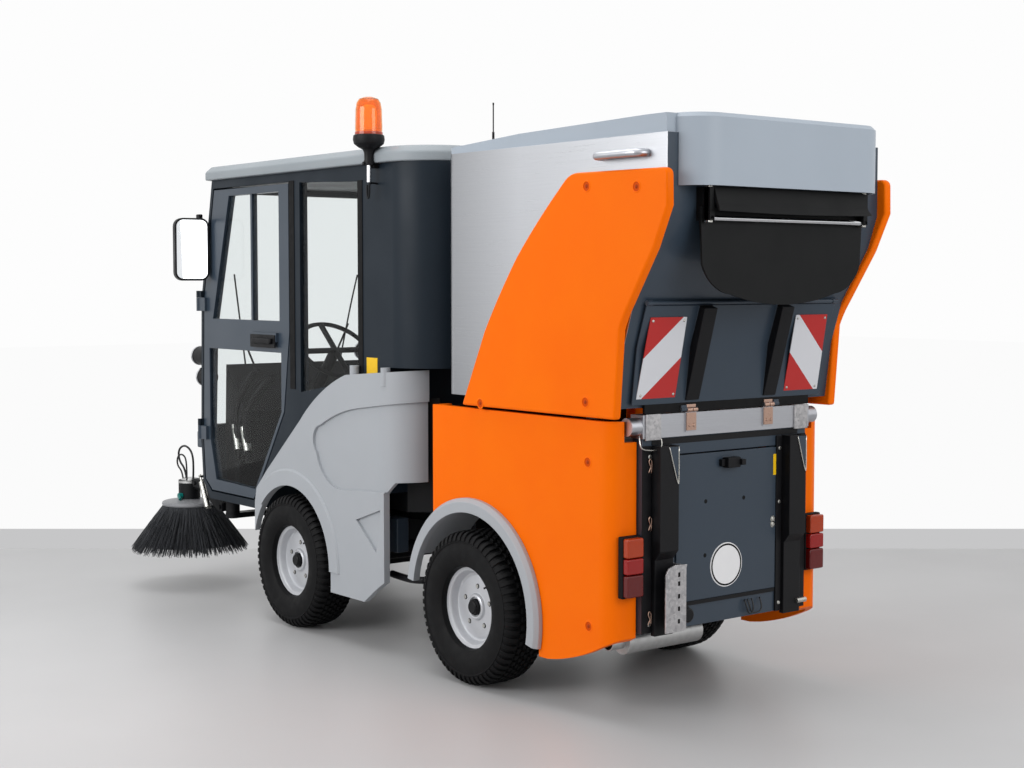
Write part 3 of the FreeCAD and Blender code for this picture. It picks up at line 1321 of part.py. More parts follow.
def make_front_wings():
    """Moulded wings over the front wheels: arch lip, pressed field, and a turn that clears the rear unit."""
    outer = D.wing_half
    inner = outer - D.skin
    front = D.wheelbase + D.wing_front
    top = D.cab_sill - D.seam
    across = (inner - D.wing_turn, outer + PAST)
    wing = pad("wing_skin", "xy", wing_plan(front, size(0), D.skin), D.wing_low, top)
    pocket(wing, "xz", wheel_arch(D.wheelbase, D.wing_arch, D.wing_low - PAST), *across)
    tail_x = D.wing_tail - PAST
    shoulder_x = D.wheelbase + D.wing_shoulder
    pocket(wing, "xz", [
        *ahead(D.wing_brow),
        (shoulder_x, D.cab_sill - D.wing_fall),
        (tail_x, top - D.seam),
        (tail_x, top + PAST),
        (front + PAST, top + PAST),
    ], *across)
    pocket(wing, "xz", [(tail_x, D.wing_low - PAST), *ahead(D.wing_notch)], *across)
    skin = wing
    for number, side_view in enumerate((D.wing_field, D.wing_hollow)):
        plan = pad("field_plan_%d" % number, "xy", wing_plan(front, -size(PAST), D.wing_flute),
                   D.wing_low, top)
        face = pad("field_face_%d" % number, "xz", ahead(side_view), *across)
        skin = cut("wing_pressed_%d" % number, skin, common("field_%d" % number, plan, face))
    lip = ring_part("wing_lip", D.wing_arch, D.wing_arch + D.lip_band, D.wheelbase, LIP_TURN,
                    outer - D.lap, outer + D.lip_proud)
    bevel_edges(lip, D.lip_proud - 1, outer_rim(D.wing_arch + D.lip_band, outer + D.lip_proud))
    bosses = []
    for number, (place, height) in enumerate(ahead(D.wing_bosses)):
        bosses.append(rod("wing_boss_%d" % number, "z", (place, outer - D.boss_radius - D.lap, height),
                          D.boss_radius, D.cab_sill - height))
    for number, (place, height) in enumerate(ahead(D.wing_stays)):
        bosses.append(box("wing_stay_%d" % number, (place, D.cab_half + D.fit_gap, height),
                          (place + D.rail_wide, inner + D.lap, height + D.stay_high)))
    left = fuse("front_wing_left", skin, lip, *bosses)
    keep("front_wing_left", left)
    keep("front_wing_right", mirror("front_wing_right", left))


def cab_profile(inset, top, foot, deck):
    """Side outline of the cab, moved inwards by a wall."""
    front = [(x - inset, z) for x, z in ahead(D.cab_front)]
    sill = D.cab_sill + (deck - D.cab_deck)
    well_x = D.wheelbase + D.cab_well
    return [
        (D.cab_rear + inset, top),
        (front[0][0], top),
        *front[1:-1],
        (front[-1][0], foot),
        (well_x + D.well_slope + inset, foot),
        (well_x + inset, deck),
        (D.cab_step + inset, deck),
        (D.cab_step + inset, sill),
        (D.cab_rear + inset, sill),
    ]


def front_at(height):
    """How far forward the cab's front reaches at a height."""
    corners = ahead(D.cab_front)
    for (high_x, high_z), (low_x, low_z) in zip(corners, corners[1:]):
        if low_z.value <= height.value <= high_z.value:
            part = (height.value - low_z.value) / (high_z.value - low_z.value)
            return low_x + (high_x - low_x) * part
    raise ValueError("no cab front at %s" % height.value)


def door_outline(shrink):
    """Outline of a door opening, or of a door when drawn smaller by its seam."""
    moves = [(-1, -1), (-1, 0), (-1, 0), (-1, 0.4), (-1, 1), (0.4, 1), (1, 0.3), (1, 0.3), (1, 0), (1, -1)]
    return [(x + shrink * move_x, z + shrink * move_z)
            for (x, z), (move_x, move_z) in zip(ahead(D.door_side), moves)]


def make_cab():
    """Hollow cab frame with its door openings, windows and door hinges."""
    wall = D.cab_wall
    half = D.cab_half
    across = (half - wall * 1.5, half + PAST)
    shell = pad("cab_outside", "xz", cab_profile(size(0), D.cab_top, D.cab_foot, D.cab_deck), -half, half)
    round_edges(shell, D.cab_corner, upright_at(D.cab_rear, half))
    inner = cab_profile(wall, D.cab_top - D.cab_header, D.cab_foot + D.cab_floor, D.cab_deck + D.cab_floor)
    inside = pad("cab_inside", "xz", inner, wall - half, half - wall)
    round_edges(inside, D.cab_corner - wall, upright_at(D.cab_rear + wall, half - wall))
    doorway = pad("doorway", "xz", door_outline(size(0)), *across)
    side_light = pad("side_light", "xz", ahead(D.side_light), *across)
    nose = front_at(D.screen_low) + wall
    screen = pad("screen_hole", "yz", screen_outline(size(0)), D.wheelbase + D.screen_back, nose)
    back = box("back_hole", (D.cab_rear - PAST, -D.back_half, D.back_low),
               (D.cab_rear + wall + PAST, D.back_half, D.back_low + D.back_high))
    hollow = cut("cab_hollow", shell, inside, doorway, mirror("doorway_right", doorway), side_light,
                 mirror("side_light_right", side_light), screen, back)
    hinges = []
    for number, height in enumerate(hinge_heights(D.knuckle_high + D.fit_gap)):
        top = height + D.knuckle_high / 2
        knuckle = rod("cab_knuckle_%d" % number, "z", (D.door_hinge_x, D.door_hinge_y, height),
                      D.door_knuckle, top - height)
        leaf = box("cab_leaf_%d" % number, (front_at(top) - D.pane_deep, half - D.seam, height),
                   (D.door_hinge_x, D.door_hinge_y + D.lap, top))
        for thing in (knuckle, leaf):
            hinges += [thing, mirror("right_" + thing.Name, thing)]
    keep("cab_frame", fuse("cab_frame", hollow, *hinges))
    make_panes(nose)
    make_cab_roof()
    make_cab_inside()


def hinge_heights(offset):
    """Heights at which the knuckles of the two door hinges start."""
    return [D.hinge_low + offset, D.hinge_low + D.hinge_apart + offset]


def make_panes(nose):
    """Bent windscreen, quarter lights and rear window."""
    glass = D.glass
    gap = D.pane_gap
    half = D.cab_half
    bend = front_at(D.screen_bend)
    foot, brow = front_at(D.screen_low - PAST), front_at(D.screen_top + PAST)
    slab = pad("screen_slab", "xz", [
        (foot, D.screen_low - PAST),
        (bend, D.screen_bend),
        (brow, D.screen_top + PAST),
        (brow - glass, D.screen_top + PAST),
        (bend - glass, D.screen_bend),
        (foot - glass, D.screen_low - PAST),
    ], -half, half)
    core = pad("screen_core", "yz", screen_outline(gap), D.wheelbase + D.screen_back, nose)
    keep("windscreen", common("windscreen", slab, core))
    corners = ahead(D.side_light)
    outline = [(x + gap * move_x, z + gap * move_z)
               for (x, z), (move_x, move_z) in zip(corners, [(-1, 1), (-1, -1), (1, -1), (1, 1)])]
    side_pane = pad("side_pane", "xz", outline, half - D.pane_deep, half - D.pane_deep + glass)
    back_x = D.cab_rear + D.pane_deep
    back_pane = box("back_pane", (back_x - glass, gap - D.back_half, D.back_low + gap),
                    (back_x, D.back_half - gap, D.back_low + D.back_high - gap))
    keep("cab_panes", group("cab_panes", side_pane, mirror("side_pane_right", side_pane), back_pane))


def screen_outline(shrink):
    """Front view of the windscreen opening, or of the pane when drawn smaller."""
    foot = D.cab_half - D.screen_side - shrink
    bend = foot - D.screen_taper
    brow = foot - D.screen_taper * 2.5
    low, high = D.screen_low + shrink, D.screen_top - shrink
    right = [(foot, low), (bend, D.screen_bend), (brow, high)]
    return right + [(-y, z) for y, z in right[::-1]]


def make_cab_roof():
    """Crowned roof moulding that overhangs the frame all round."""
    top = D.cab_top + D.roof_rise
    half = D.cab_half + D.roof_eave
    front = D.wheelbase + D.roof_front
    rear = D.cab_rear - D.roof_tail
    turn = D.cab_corner + D.roof_eave + D.roof_tail * 3
    nose = half - D.roof_cheek
    roof = pad("cab_roof", "xy", [
        (front - D.roof_taper, half),
        (rear + turn, half, turn),
        (rear, half - turn),
        (rear, turn - half, turn),
        (rear + turn, -half),
        (front - D.roof_taper, -half),
        (front, -nose, D.roof_crown),
        (front, nose),
    ], D.cab_top + D.fit_gap, top)
    bevel_edges(roof, D.roof_eave, lambda edge: edge.BoundBox.ZMin > top.value - 0.5)
    keep("cab_roof", roof)


def leaning_rod(name, start, lean, radius, length):
    """A cylinder from a start point that leans backwards from upright by an angle in degrees."""
    thing = DOC.addObject("Part::Cylinder", name)
    thing.Placement = Placement(Vector(), Rotation(Vector(0, 1, 0), -lean))
    bind(thing, Radius=radius, Height=length)
    return at(thing, *start)


def make_cab_inside():
    """Dashboard with the steering wheel, and the driver's seat."""
    floor = D.cab_foot + D.cab_floor
    desk = pad("desk", "xz", [
        *ahead(D.desk_side),
        (D.wheelbase + D.desk_toe, floor),
        (D.wheelbase + D.desk_heel, floor),
    ], -D.desk_half, D.desk_half)
    along, up = math.sin(math.radians(STEER_LEAN)), math.cos(math.radians(STEER_LEAN))
    hub_x = D.wheelbase + D.steer_x
    column = leaning_rod("column", (hub_x + D.column_long * along, 0, D.steer_z - D.column_long * up),
                         STEER_LEAN, D.column_radius, D.column_long)
    grip = D.steer_grip
    wheel = turned("steering_rim", [
        (D.steer_radius - grip, 0),
        (D.steer_radius, -grip),
        (D.steer_radius + grip, 0),
        (D.steer_radius, grip),
    ])
    lean = Rotation(Vector(0, 1, 0), -STEER_LEAN)
    wheel.Placement = Placement(Vector(), lean * Rotation(Vector(1, 0, 0), 90))
    at(wheel, hub_x, 0, D.steer_z)
    spoke = leaning_rod("spokes", (hub_x + D.steer_radius * up, 0, D.steer_z + D.steer_radius * along),
                        90 + STEER_LEAN, grip, D.steer_radius * 2)
    cross = rod("cross_spoke", "y", (hub_x, -D.steer_radius, D.steer_z), grip, D.steer_radius * 2)
    keep("dashboard", fuse("dashboard", desk, column, wheel, spoke, cross))
    deck = D.cab_deck + D.cab_floor
    seat = pad("driver_seat", "xz", [
        (D.wheelbase + D.seat_rear, deck),
        (D.wheelbase + D.seat_front, deck),
        *ahead(D.seat_side),
    ], -D.seat_half, D.seat_half)
    keep("driver_seat", bevel_edges(seat, D.seat_bevel, lambda edge: edge.BoundBox.YLength < 0.01
                                    and edge.BoundBox.ZMin > D.seat_base.value and edge.Length > 60))


def make_lights():
    """Headlamps on stays at the cab's front corners, and the beacon on its pole."""
    parts = []
    stay_x = front_at(D.stay_foot) + D.fit_gap
    for number, (place, height) in enumerate(ahead(D.headlamp_pots)):
        parts.append(rod("lamp_pot_%d" % number, "x", (stay_x, D.headlamp_y, height), D.headlamp_radius,
                         place - stay_x))
    stay_end = D.stay_foot + D.stay_tall
    parts.append(pad("lamp_stay", "xz", [
        (stay_x, D.stay_foot),
        (stay_x + D.stay_reach, D.stay_foot + D.stay_reach / 2),
        (stay_x + D.stay_reach, stay_end - D.stay_reach / 2),
        (front_at(stay_end) + D.fit_gap, stay_end),
    ], D.headlamp_y - D.stay_half, D.headlamp_y + D.stay_half))
    keep("headlamps", both("headlamps", fuse("headlamp_left", *parts)))
    pole_x = D.wheelbase + D.beacon_x
    pole_y = D.cab_half + D.beacon_out
    base = D.cab_top + D.roof_rise + D.run_gap
    clamp_low = D.cab_top - D.clamp_drop
    reach = D.clamp_half
    keep("beacon", fuse(
        "beacon",
        rod("beacon_stem", "z", (pole_x, pole_y, clamp_low - reach), D.pole_radius,
            base + D.lap - clamp_low + reach),
        box("beacon_clamp", (pole_x - reach, D.cab_half + D.fit_gap, clamp_low),
            (pole_x + reach, pole_y + D.pole_radius, clamp_low + reach * 2)),
        rod("beacon_socket", "z", (pole_x, pole_y, base), D.beacon_base, D.socket_high),
        rod("beacon_dome", "z", (pole_x, pole_y, base + D.socket_high), D.beacon_radius, D.beacon_high),
    ))


def make_doors():
    """Front-hinged doors with two windows, their panes and mirrors."""
    half = D.cab_half
    root = half - D.cab_wall + D.seam
    across = (root - PAST, half + PAST)
    door = pad("door_skin", "xz", door_outline(D.door_seam), root, half)
    upper, lower = ahead(D.upper_glass), ahead(D.lower_glass)
    for outline in (upper, lower):
        pocket(door, "xz", outline, *across)
    bar_x = D.wheelbase + D.window_bar
    low, high = upper[0][1] - D.run_gap, upper[1][1] + D.run_gap
    bar_half = D.plate
    parts = [
        box("door_bar", (bar_x - bar_half, root + D.seam, low), (bar_x + bar_half, half - D.seam, high)),
        box("door_handle", (D.wheelbase + D.handle_x, half - D.lap, D.handle_z),
            (D.wheelbase + D.handle_x + D.handle_long, half + D.handle_proud, D.handle_z + D.handle_high)),
    ]
    for number, height in enumerate(hinge_heights(size(0))):
        top = height + D.knuckle_high
        leaf_x = D.door_hinge_x - D.hinge_leaf
        parts.append(rod("door_knuckle_%d" % number, "z", (D.door_hinge_x, D.door_hinge_y, height),
                         D.door_knuckle, D.knuckle_high))
        parts.append(box("door_leaf_%d" % number, (leaf_x, half + D.lap, height),
                         (D.door_hinge_x, D.door_hinge_y + D.lap, top)))
        parts.append(box("door_boss_%d" % number, (leaf_x, half - D.lap, height),
                         (leaf_x + D.hinge_leaf / 3, half + D.seam, top)))
    keep("door_left", fuse("door_left", door, *parts))
    glass_y = half - D.pane_deep
    panes = [pad("door_pane_%d" % number, "xz", outline, glass_y, glass_y + D.glass)
             for number, outline in enumerate((upper, lower))]
    slot = box("pane_slot", (bar_x - bar_half - 1, glass_y - PAST, low - PAST),
               (bar_x + bar_half + 1, glass_y + D.glass + PAST, high + PAST))
    keep("door_glass_left", group("door_glass_left", cut("upper_pane", panes[0], slot), panes[1]))
    make_mirror()
    for name in ("door_left", "door_glass_left", "mirror_left"):
        twin = name.replace("left", "right")
        keep(twin, mirror(twin, NODES[name]))


def make_mirror():
    """Tall mirror in a bevelled shell, on an arm from the door."""
    half = D.cab_half
    rear = D.mirror_x
    front = rear + D.mirror_deep
    near = half + D.seam
    shell = pad("mirror_shell", "yz", rounded(near, D.mirror_low, near + D.mirror_wide,
                                              D.mirror_low + D.mirror_high, D.mirror_corner), rear, front)
    bevel_edges(shell, D.mirror_bevel, lambda edge: edge.BoundBox.XMin > front.value - 0.5)
    arm_z = D.mirror_low + D.mirror_high * 0.8
    arm = rod("mirror_arm", "y", (rear + D.mirror_deep / 2, half + D.fit_gap, arm_z), D.mirror_arm,
              near - half + D.mirror_corner)
    keep("mirror_left", fuse("mirror_left", shell, arm))


def make_brushes():
    """Side brushes on parallel lift arms that swing out on their pins."""
    low = D.rail_low + D.lap + D.outrigger + D.fork_gap
    web = D.arm_near - D.plate
    pivot_low = D.swing_y - D.pivot_reach
    bracket = fuse(
        "bracket_body",
        rod("bracket_boss", "z", (D.swing_x, D.swing_y, low), D.bracket_boss, D.bracket_high),
        box("bracket_web", (D.swing_x, D.swing_y - web, low),
            (D.arm_back - D.seam, D.swing_y + web, low + D.web_high)),
        rod("bracket_pivot", "y", (D.arm_back, pivot_low, D.arm_low), D.arm_pin, D.pivot_reach * 2),
    )
    pin_hole = rod("bracket_bore", "z", (D.swing_x, D.swing_y, low - PAST), D.swing_pin + D.hub_gap,
                   D.bracket_high + PAST * 2)
    keep("brush_bracket_left", cut("brush_bracket_left", bracket, pin_hole))
    keep("brush_arm_left", brush_arm())
    head_low = D.brush_plate + D.disc_thick + 1
    neck = D.arm_near - D.arm_clear
    keep("brush_head_left", fuse(
        "brush_head_left",
        rod("brush_motor", "z", (D.brush_x, D.brush_y, head_low), D.motor_radius, D.motor_high),
        box("head_neck", (D.arm_front - D.plate * 2, D.swing_y - neck, D.arm_high - D.neck_drop),
            (D.brush_x, D.swing_y + neck, D.arm_high + D.neck_rise)),
        rod("head_pin", "y", (D.arm_front, pivot_low, D.arm_high), D.head_pin, D.pivot_reach * 2),
        rod("brush_shaft", "z", (D.brush_x, D.brush_y, D.brush_plate + D.seam), D.shaft_radius,
            D.disc_thick + D.plate),
    ))
    keep("brush_left", make_brush())
    for name in ("brush_bracket_left", "brush_arm_left", "brush_head_left", "brush_left"):
        twin = name.replace("left", "right")
        keep(twin, mirror(twin, NODES[name]))


def brush_arm():
    """Two bent arm plates tied by a spacer, bored for the pivot pins."""
    half = D.arm_end
    plates = []
    for number, place in enumerate((-D.arm_near - D.arm_plate, D.arm_near)):
        plates.append(pad("arm_plate_%d" % number, "xz", [
            (D.arm_back - half, D.arm_low - half),
            (D.arm_back - half, D.arm_low + half),
            *ahead(D.arm_upper),
            (D.arm_front + half, D.arm_high + half),
            (D.arm_front + half, D.arm_high - half),
            *ahead(D.arm_lower),
            (D.arm_back + half, D.arm_low - half),
        ], D.swing_y + place, D.swing_y + place + D.arm_plate))
    spacer_x = D.arm_front - D.spacer_x
    reach = D.arm_near + D.lap
    spacer = box("arm_spacer", (spacer_x - D.spacer_half, D.swing_y - reach, D.spacer_z),
                 (spacer_x + D.spacer_half, D.swing_y + reach, D.spacer_z + D.spacer_half * 1.5))
    low = D.swing_y - D.pivot_reach - PAST
    length = (D.pivot_reach + PAST) * 2
    bores = [
        rod("arm_bore_back", "y", (D.arm_back, low, D.arm_low), D.arm_pin + D.hub_gap, length),
        rod("arm_bore_front", "y", (D.arm_front, low, D.arm_high), D.head_pin + D.hub_gap, length),
    ]
    return cut("brush_arm_left", fuse("arm_body", *plates, spacer), *bores)


def make_brush():
    """Carrier disc with bristle tufts that flare outwards, repeated round the shaft."""
    brush = DOC.addObject("PartDesign::Body", "brush_left")
    hole = D.shaft_radius + D.hub_gap
    disc_sketch = sketch_on(brush, "xz", 0, [
        (hole, 0),
        (D.brush_disc, 0),
        (D.brush_disc, D.disc_thick),
        (hole, D.disc_thick),
    ])
    disc = brush.newObject("PartDesign::Revolution", "brush_disc_turn")
    disc.Profile = disc_sketch
    disc.ReferenceAxis = (disc_sketch, ["V_Axis"])
    disc.Angle = 360
    DOC.recompute()
    drop = D.brush_tip - D.brush_plate
    tuft_sketch = sketch_on(brush, "xz", -D.tuft_wide / 2, [
        (D.brush_disc - D.tuft_root, D.seam),
        (D.brush_disc - D.sheet, D.seam),
        (D.brush_radius - D.tuft_spread, drop * 0.45),
        (D.brush_radius, drop),
        (D.brush_radius - D.tuft_tip, drop),
        (D.brush_radius - D.tuft_spread - D.tuft_tip, drop * 0.5),
    ])
    tuft = brush.newObject("PartDesign::Pad", "tuft_pad")
    tuft.Profile = tuft_sketch
    bind(tuft, Length=D.tuft_wide)
    DOC.recompute()
    polar(brush, tuft, D.tuft_count)
    return at(brush, D.brush_x, D.brush_y, D.brush_plate)


def make_suction():
    """Suction nozzle that rises and falls on its duct."""
    low = D.nozzle_low
    back = D.nozzle_x
    front = back + D.nozzle_long
    half = D.nozzle_half
    wall = D.nozzle_wall
    top = low + D.nozzle_high
    slope = D.nozzle_slope
    hood = pad("nozzle_hood", "xz", [
        (back, low),
        (back + slope, top),
        (front - D.nozzle_nose, top),
        (front, low),
    ], -half, half)
    hollow = pad("nozzle_inside", "xz", [
        (back + wall, low - PAST),
        (back + slope + wall, top - wall),
        (front - D.nozzle_nose - wall, top - wall),
        (front - wall, low - PAST),
    ], wall - half, half - wall)
    place = back + D.nozzle_long / 2
    collar = rod("nozzle_collar", "z", (place, 0, top - wall * 1.5), D.duct_radius + D.collar_wall,
                 D.collar_high)
    bore = rod("nozzle_bore", "z", (place, 0, low + wall), D.duct_radius + D.duct_gap,
               D.nozzle_high + D.collar_high)
    keep("suction_nozzle", cut("suction_nozzle", fuse("nozzle_body", hood, collar), hollow, bore))
    duct_low = top + 1
    duct_top = D.cab_foot - D.plate
    duct = rod("duct_drop", "z", (place, 0, duct_low), D.duct_radius, duct_top - duct_low)
    duct_bore = rod("duct_bore", "z", (place, 0, duct_low - PAST), D.duct_radius - D.duct_wall,
                    duct_top - duct_low + PAST * 2)
    ear_reach = D.front_rail_half - D.rail_wide / 2
    ear_low = D.rail_low + D.rail_high / 2
    ear = box("duct_ear", (place - D.rail_wide / 2, -ear_reach, ear_low),
              (place + D.rail_wide / 2, ear_reach, ear_low + D.ear_high))
    keep("suction_duct", cut("suction_duct", fuse("duct_body", duct, ear), duct_bore))


def main():
    """Builds, checks and saves every piece."""
    make_wheels()
    make_axle("rear_axle", size(0), D.tyre_radius)
    make_axle("front_axle", D.wheelbase, D.tyre_radius)
    make_rear_chassis()
    make_lower_covers()
    make_rear_fenders()
    make_tail()
    make_beam()
    make_tow_bracket()
    make_silencer()
    make_hopper()
    make_ram()
    make_front_chassis()
    make_front_wings()
    make_cab()
    make_lights()
    make_doors()
    make_brushes()
    make_suction()
    DOC.recompute()
    failed = [thing.Name for thing in DOC.Objects if "Invalid" in thing.State or "Error" in thing.State]
    if failed:
        raise RuntimeError("these failed: %s" % ", ".join(failed))
    faulty = [name for name, thing in NODES.items()
              if thing.Shape.isNull() or not thing.Shape.isValid() or not thing.Shape.Solids]
    if faulty:
        raise RuntimeError("these have no valid shape: %s" % ", ".join(faulty))
    whole = FreeCAD.BoundBox()
    for thing in NODES.values():
        whole.add(thing.Shape.optimalBoundingBox(False))
    middle = (whole.XMin + whole.XMax) / 2
    os.makedirs("parts", exist_ok=True)
    for name, thing in NODES.items():
        shape = thing.Shape.copy()
        shape.translate(Vector(-middle, 0, 0))
        shape.exportStep("parts/%s.step" % name)
    print("pieces %d, length %.1f, width %.1f, height %.1f, lowest %.2f, rear axle at %.3f" % (
        len(NODES), whole.XLength, whole.YLength, whole.ZLength, whole.ZMin, -middle))


main()
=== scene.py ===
# %% [markdown]
# # An articulated street sweeper
# A compact municipal sweeper stands half turned from us: a steel dirt hopper with orange
# plastic covers behind, a dark cab in front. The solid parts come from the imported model, and
# this lesson dresses them. Each step says what the piece is on the real machine first.

# %% Load the fixed frame
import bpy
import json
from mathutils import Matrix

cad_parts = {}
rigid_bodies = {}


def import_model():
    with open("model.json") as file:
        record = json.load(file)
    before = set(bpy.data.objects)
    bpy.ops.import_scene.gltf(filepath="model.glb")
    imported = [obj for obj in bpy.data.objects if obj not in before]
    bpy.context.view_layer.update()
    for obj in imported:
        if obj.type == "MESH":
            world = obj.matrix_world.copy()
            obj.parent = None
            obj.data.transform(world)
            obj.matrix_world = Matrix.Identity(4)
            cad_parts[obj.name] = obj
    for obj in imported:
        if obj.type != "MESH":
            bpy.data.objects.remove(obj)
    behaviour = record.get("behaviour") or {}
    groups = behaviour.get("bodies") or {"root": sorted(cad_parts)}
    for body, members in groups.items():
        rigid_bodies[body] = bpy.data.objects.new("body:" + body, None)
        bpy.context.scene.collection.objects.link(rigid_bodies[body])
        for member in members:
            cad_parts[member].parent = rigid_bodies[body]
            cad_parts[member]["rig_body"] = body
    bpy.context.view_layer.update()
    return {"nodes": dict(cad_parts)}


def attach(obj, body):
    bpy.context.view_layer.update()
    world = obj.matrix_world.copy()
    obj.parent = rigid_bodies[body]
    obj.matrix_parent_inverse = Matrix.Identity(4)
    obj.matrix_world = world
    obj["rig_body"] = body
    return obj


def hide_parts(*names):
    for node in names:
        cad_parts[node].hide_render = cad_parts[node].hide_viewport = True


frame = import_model()

# %% [markdown]
# ## Places and small helpers
# Every measure below is in millimetres, forwards from the rear axle, to the left of the
# middle and up from the floor. One function turns such a place into the frame's metres.

# %% Units, places and picking
import bpy
import json
import math
import random
from mathutils import Matrix, Vector

MM = 0.001
AXLE_BACK = 797
FORWARD, LEFT, UP = Vector((1, 0, 0)), Vector((0, 1, 0)), Vector((0, 0, 1))
BACK = -FORWARD
SMOOTH, BAR_SMOOTH = math.radians(32), math.radians(40)
FLAT = math.radians(0.5)
MERGE = 1e-5


def spot(x, y, z):
    """A place in mm from the rear axle as a place in the frame, in metres."""
    return Vector(((x - AXLE_BACK) * MM, y * MM, z * MM))


def fresh():
    """Leaves nothing selected, so that the next tool touches only its own piece."""
    if bpy.context.object and bpy.context.object.mode != "OBJECT":
        done()
    bpy.ops.object.select_all(action="DESELECT")


def pick(*pieces):
    """Selects pieces and makes the last one active."""
    fresh()
    for piece in pieces:
        piece.select_set(True)
        bpy.context.view_layer.objects.active = piece


def edit(piece, action="SELECT"):
    """Goes into edit mode on one piece, with all of it selected unless told otherwise."""
    pick(piece)
    bpy.ops.object.mode_set(mode="EDIT")
    bpy.ops.mesh.select_all(action=action)


def done():
    """Leaves edit mode."""
    bpy.ops.object.mode_set(mode="OBJECT")


def settle(piece):
    """Puts a piece's place, turn and scale into its mesh, so that its object is at the origin."""
    pick(piece)
    bpy.ops.object.transform_apply(location=True, rotation=True, scale=True)
    return piece


def apply(piece, kind, **settings):
    """Adds a modifier, sets it and applies it."""
    pick(piece)
    modifier = piece.modifiers.new("step", kind)
    for name, value in settings.items():
        setattr(modifier, name, value)
    bpy.ops.object.modifier_apply(modifier=modifier.name)
    return piece


def outward(piece):
    """Merges doubles and turns every face outwards."""
    edit(piece)
    bpy.ops.mesh.remove_doubles(threshold=MERGE)
    bpy.ops.mesh.normals_make_consistent(inside=False)
    done()
    return piece


def softened(piece, width, segments=2, sharp=30):
    """Rounds the edges as a mould or a press leaves them and shades the faces smooth."""
    if width:
        apply(piece, "BEVEL", width=width * MM, segments=segments, limit_method="ANGLE",
              angle_limit=math.radians(sharp), harden_normals=False)
    pick(piece)
    bpy.ops.object.shade_smooth_by_angle(angle=SMOOTH)
    apply(piece, "WEIGHTED_NORMAL", keep_sharp=True)
    return piece


# %% Ways to start a piece
def block(low, high, width=2.0, segments=2):
    """A squared piece between two corners, with its edges rounded by width."""
    fresh()
    low, high = spot(*low), spot(*high)
    bpy.ops.mesh.primitive_cube_add(size=1, location=(low + high) / 2, scale=high - low)
    return softened(settle(bpy.context.object), width, segments)


def rod(start, end, radius, sides=24, width=0.0):
    """A round bar between two places."""
    fresh()
    start, end = spot(*start), spot(*end)
    turn = (end - start).to_track_quat("Z", "Y").to_euler()
    bpy.ops.mesh.primitive_cylinder_add(
        vertices=sides, radius=radius * MM, depth=(end - start).length,
        location=(start + end) / 2, rotation=turn)
    return softened(settle(bpy.context.object), width)


def chain(places):
    """Edges through places, in edit mode: one vertex is pushed out again and again."""
    fresh()
    bpy.ops.mesh.primitive_plane_add(size=MM, location=places[0])
    bpy.ops.object.mode_set(mode="EDIT")
    bpy.ops.mesh.select_mode(type="VERT")
    bpy.ops.mesh.select_all(action="SELECT")
    bpy.ops.mesh.merge(type="CENTER")
    for here, there in zip(places, places[1:]):
        bpy.ops.mesh.extrude_vertices_move(TRANSFORM_OT_translate={"value": there - here})
    bpy.ops.mesh.select_all(action="SELECT")


def plate(outline, away, width=1.0, segments=2):
    """A flat plate from the places of its outline, pushed out by a length in mm."""
    chain([spot(*place) for place in outline])
    bpy.ops.mesh.edge_face_add()
    bpy.ops.mesh.extrude_region_move(TRANSFORM_OT_translate={"value": Vector(away) * MM})
    done()
    return softened(outward(settle(bpy.context.object)), width, segments)


def turned(profile, centre, axis, steps=48, width=0.0):
    """Spins a profile of radius and height above a centre, in mm, round an axis."""
    side = axis.orthogonal().normalized()
    middle = spot(*centre)
    chain([middle + (axis * height + side * radius) * MM for radius, height in profile])
    bpy.ops.mesh.spin(steps=steps, angle=math.tau, center=middle, axis=axis)
    done()
    return softened(outward(settle(bpy.context.object)), width)


def empty_curve():
    """A curve object with no line in it yet."""
    fresh()
    bpy.ops.curve.primitive_nurbs_path_add(location=(0, 0, 0))
    bpy.context.object.data.splines.clear()
    return bpy.context.object


def smooth_line(places, steps):
    """A curve of one spline that its places draw near, still without a thickness."""
    line = empty_curve()
    spline = line.data.splines.new("NURBS")
    spline.points.add(len(places) - 1)
    for point, place in zip(spline.points, places):
        point.co = (*spot(*place), 1)
    spline.order_u = 3
    spline.use_endpoint_u = True
    spline.resolution_u = steps
    return line


def thicken(line, radius, rings=3):
    """Makes a curve a round bar or hose with closed ends."""
    line.data.bevel_depth = radius * MM
    line.data.bevel_resolution = rings
    line.data.use_fill_caps = True
    return line


def bent(places, radius, rings=3, steps=6):
    """A round bar or tube along a smooth line, as a mesh."""
    thicken(smooth_line(places, steps), radius, rings)
    bpy.ops.object.convert(target="MESH")
    bpy.ops.object.shade_smooth_by_angle(angle=BAR_SMOOTH)
    return outward(bpy.context.object)


def copy_of(piece):
    """A copy with its own mesh that belongs to nothing yet."""
    pick(piece)
    bpy.ops.object.duplicate()
    twin = bpy.context.object
    bpy.ops.object.parent_clear(type="CLEAR_KEEP_TRANSFORM")
    for mark in [key for key in twin.keys() if key.startswith("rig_")]:
        del twin[mark]
    return twin


def about(centre, angle, axis):
    """A turn of a mesh about a place, in radians round the frame's X, Y or Z."""
    return (Matrix.Translation(centre) @ Matrix.Rotation(angle, 4, axis)
            @ Matrix.Translation(-centre))


def joined(*pieces):
    """Several shapes as one piece."""
    pick(*pieces)
    bpy.ops.object.join()
    return bpy.context.object


def heads(profile, places, steps=12):
    """The same small turned head at several places, facing back, as one piece."""
    return joined(*[turned(profile, place, BACK, steps) for place in places])


# %% [markdown]
# A finished piece gets a name, a finish and a body that carries it. A name with {} in it stands for
# a left piece, and its mirror image is made on the right.

# %% Fitting a piece
FRONT, REAR = "front_frame", "rear_frame"


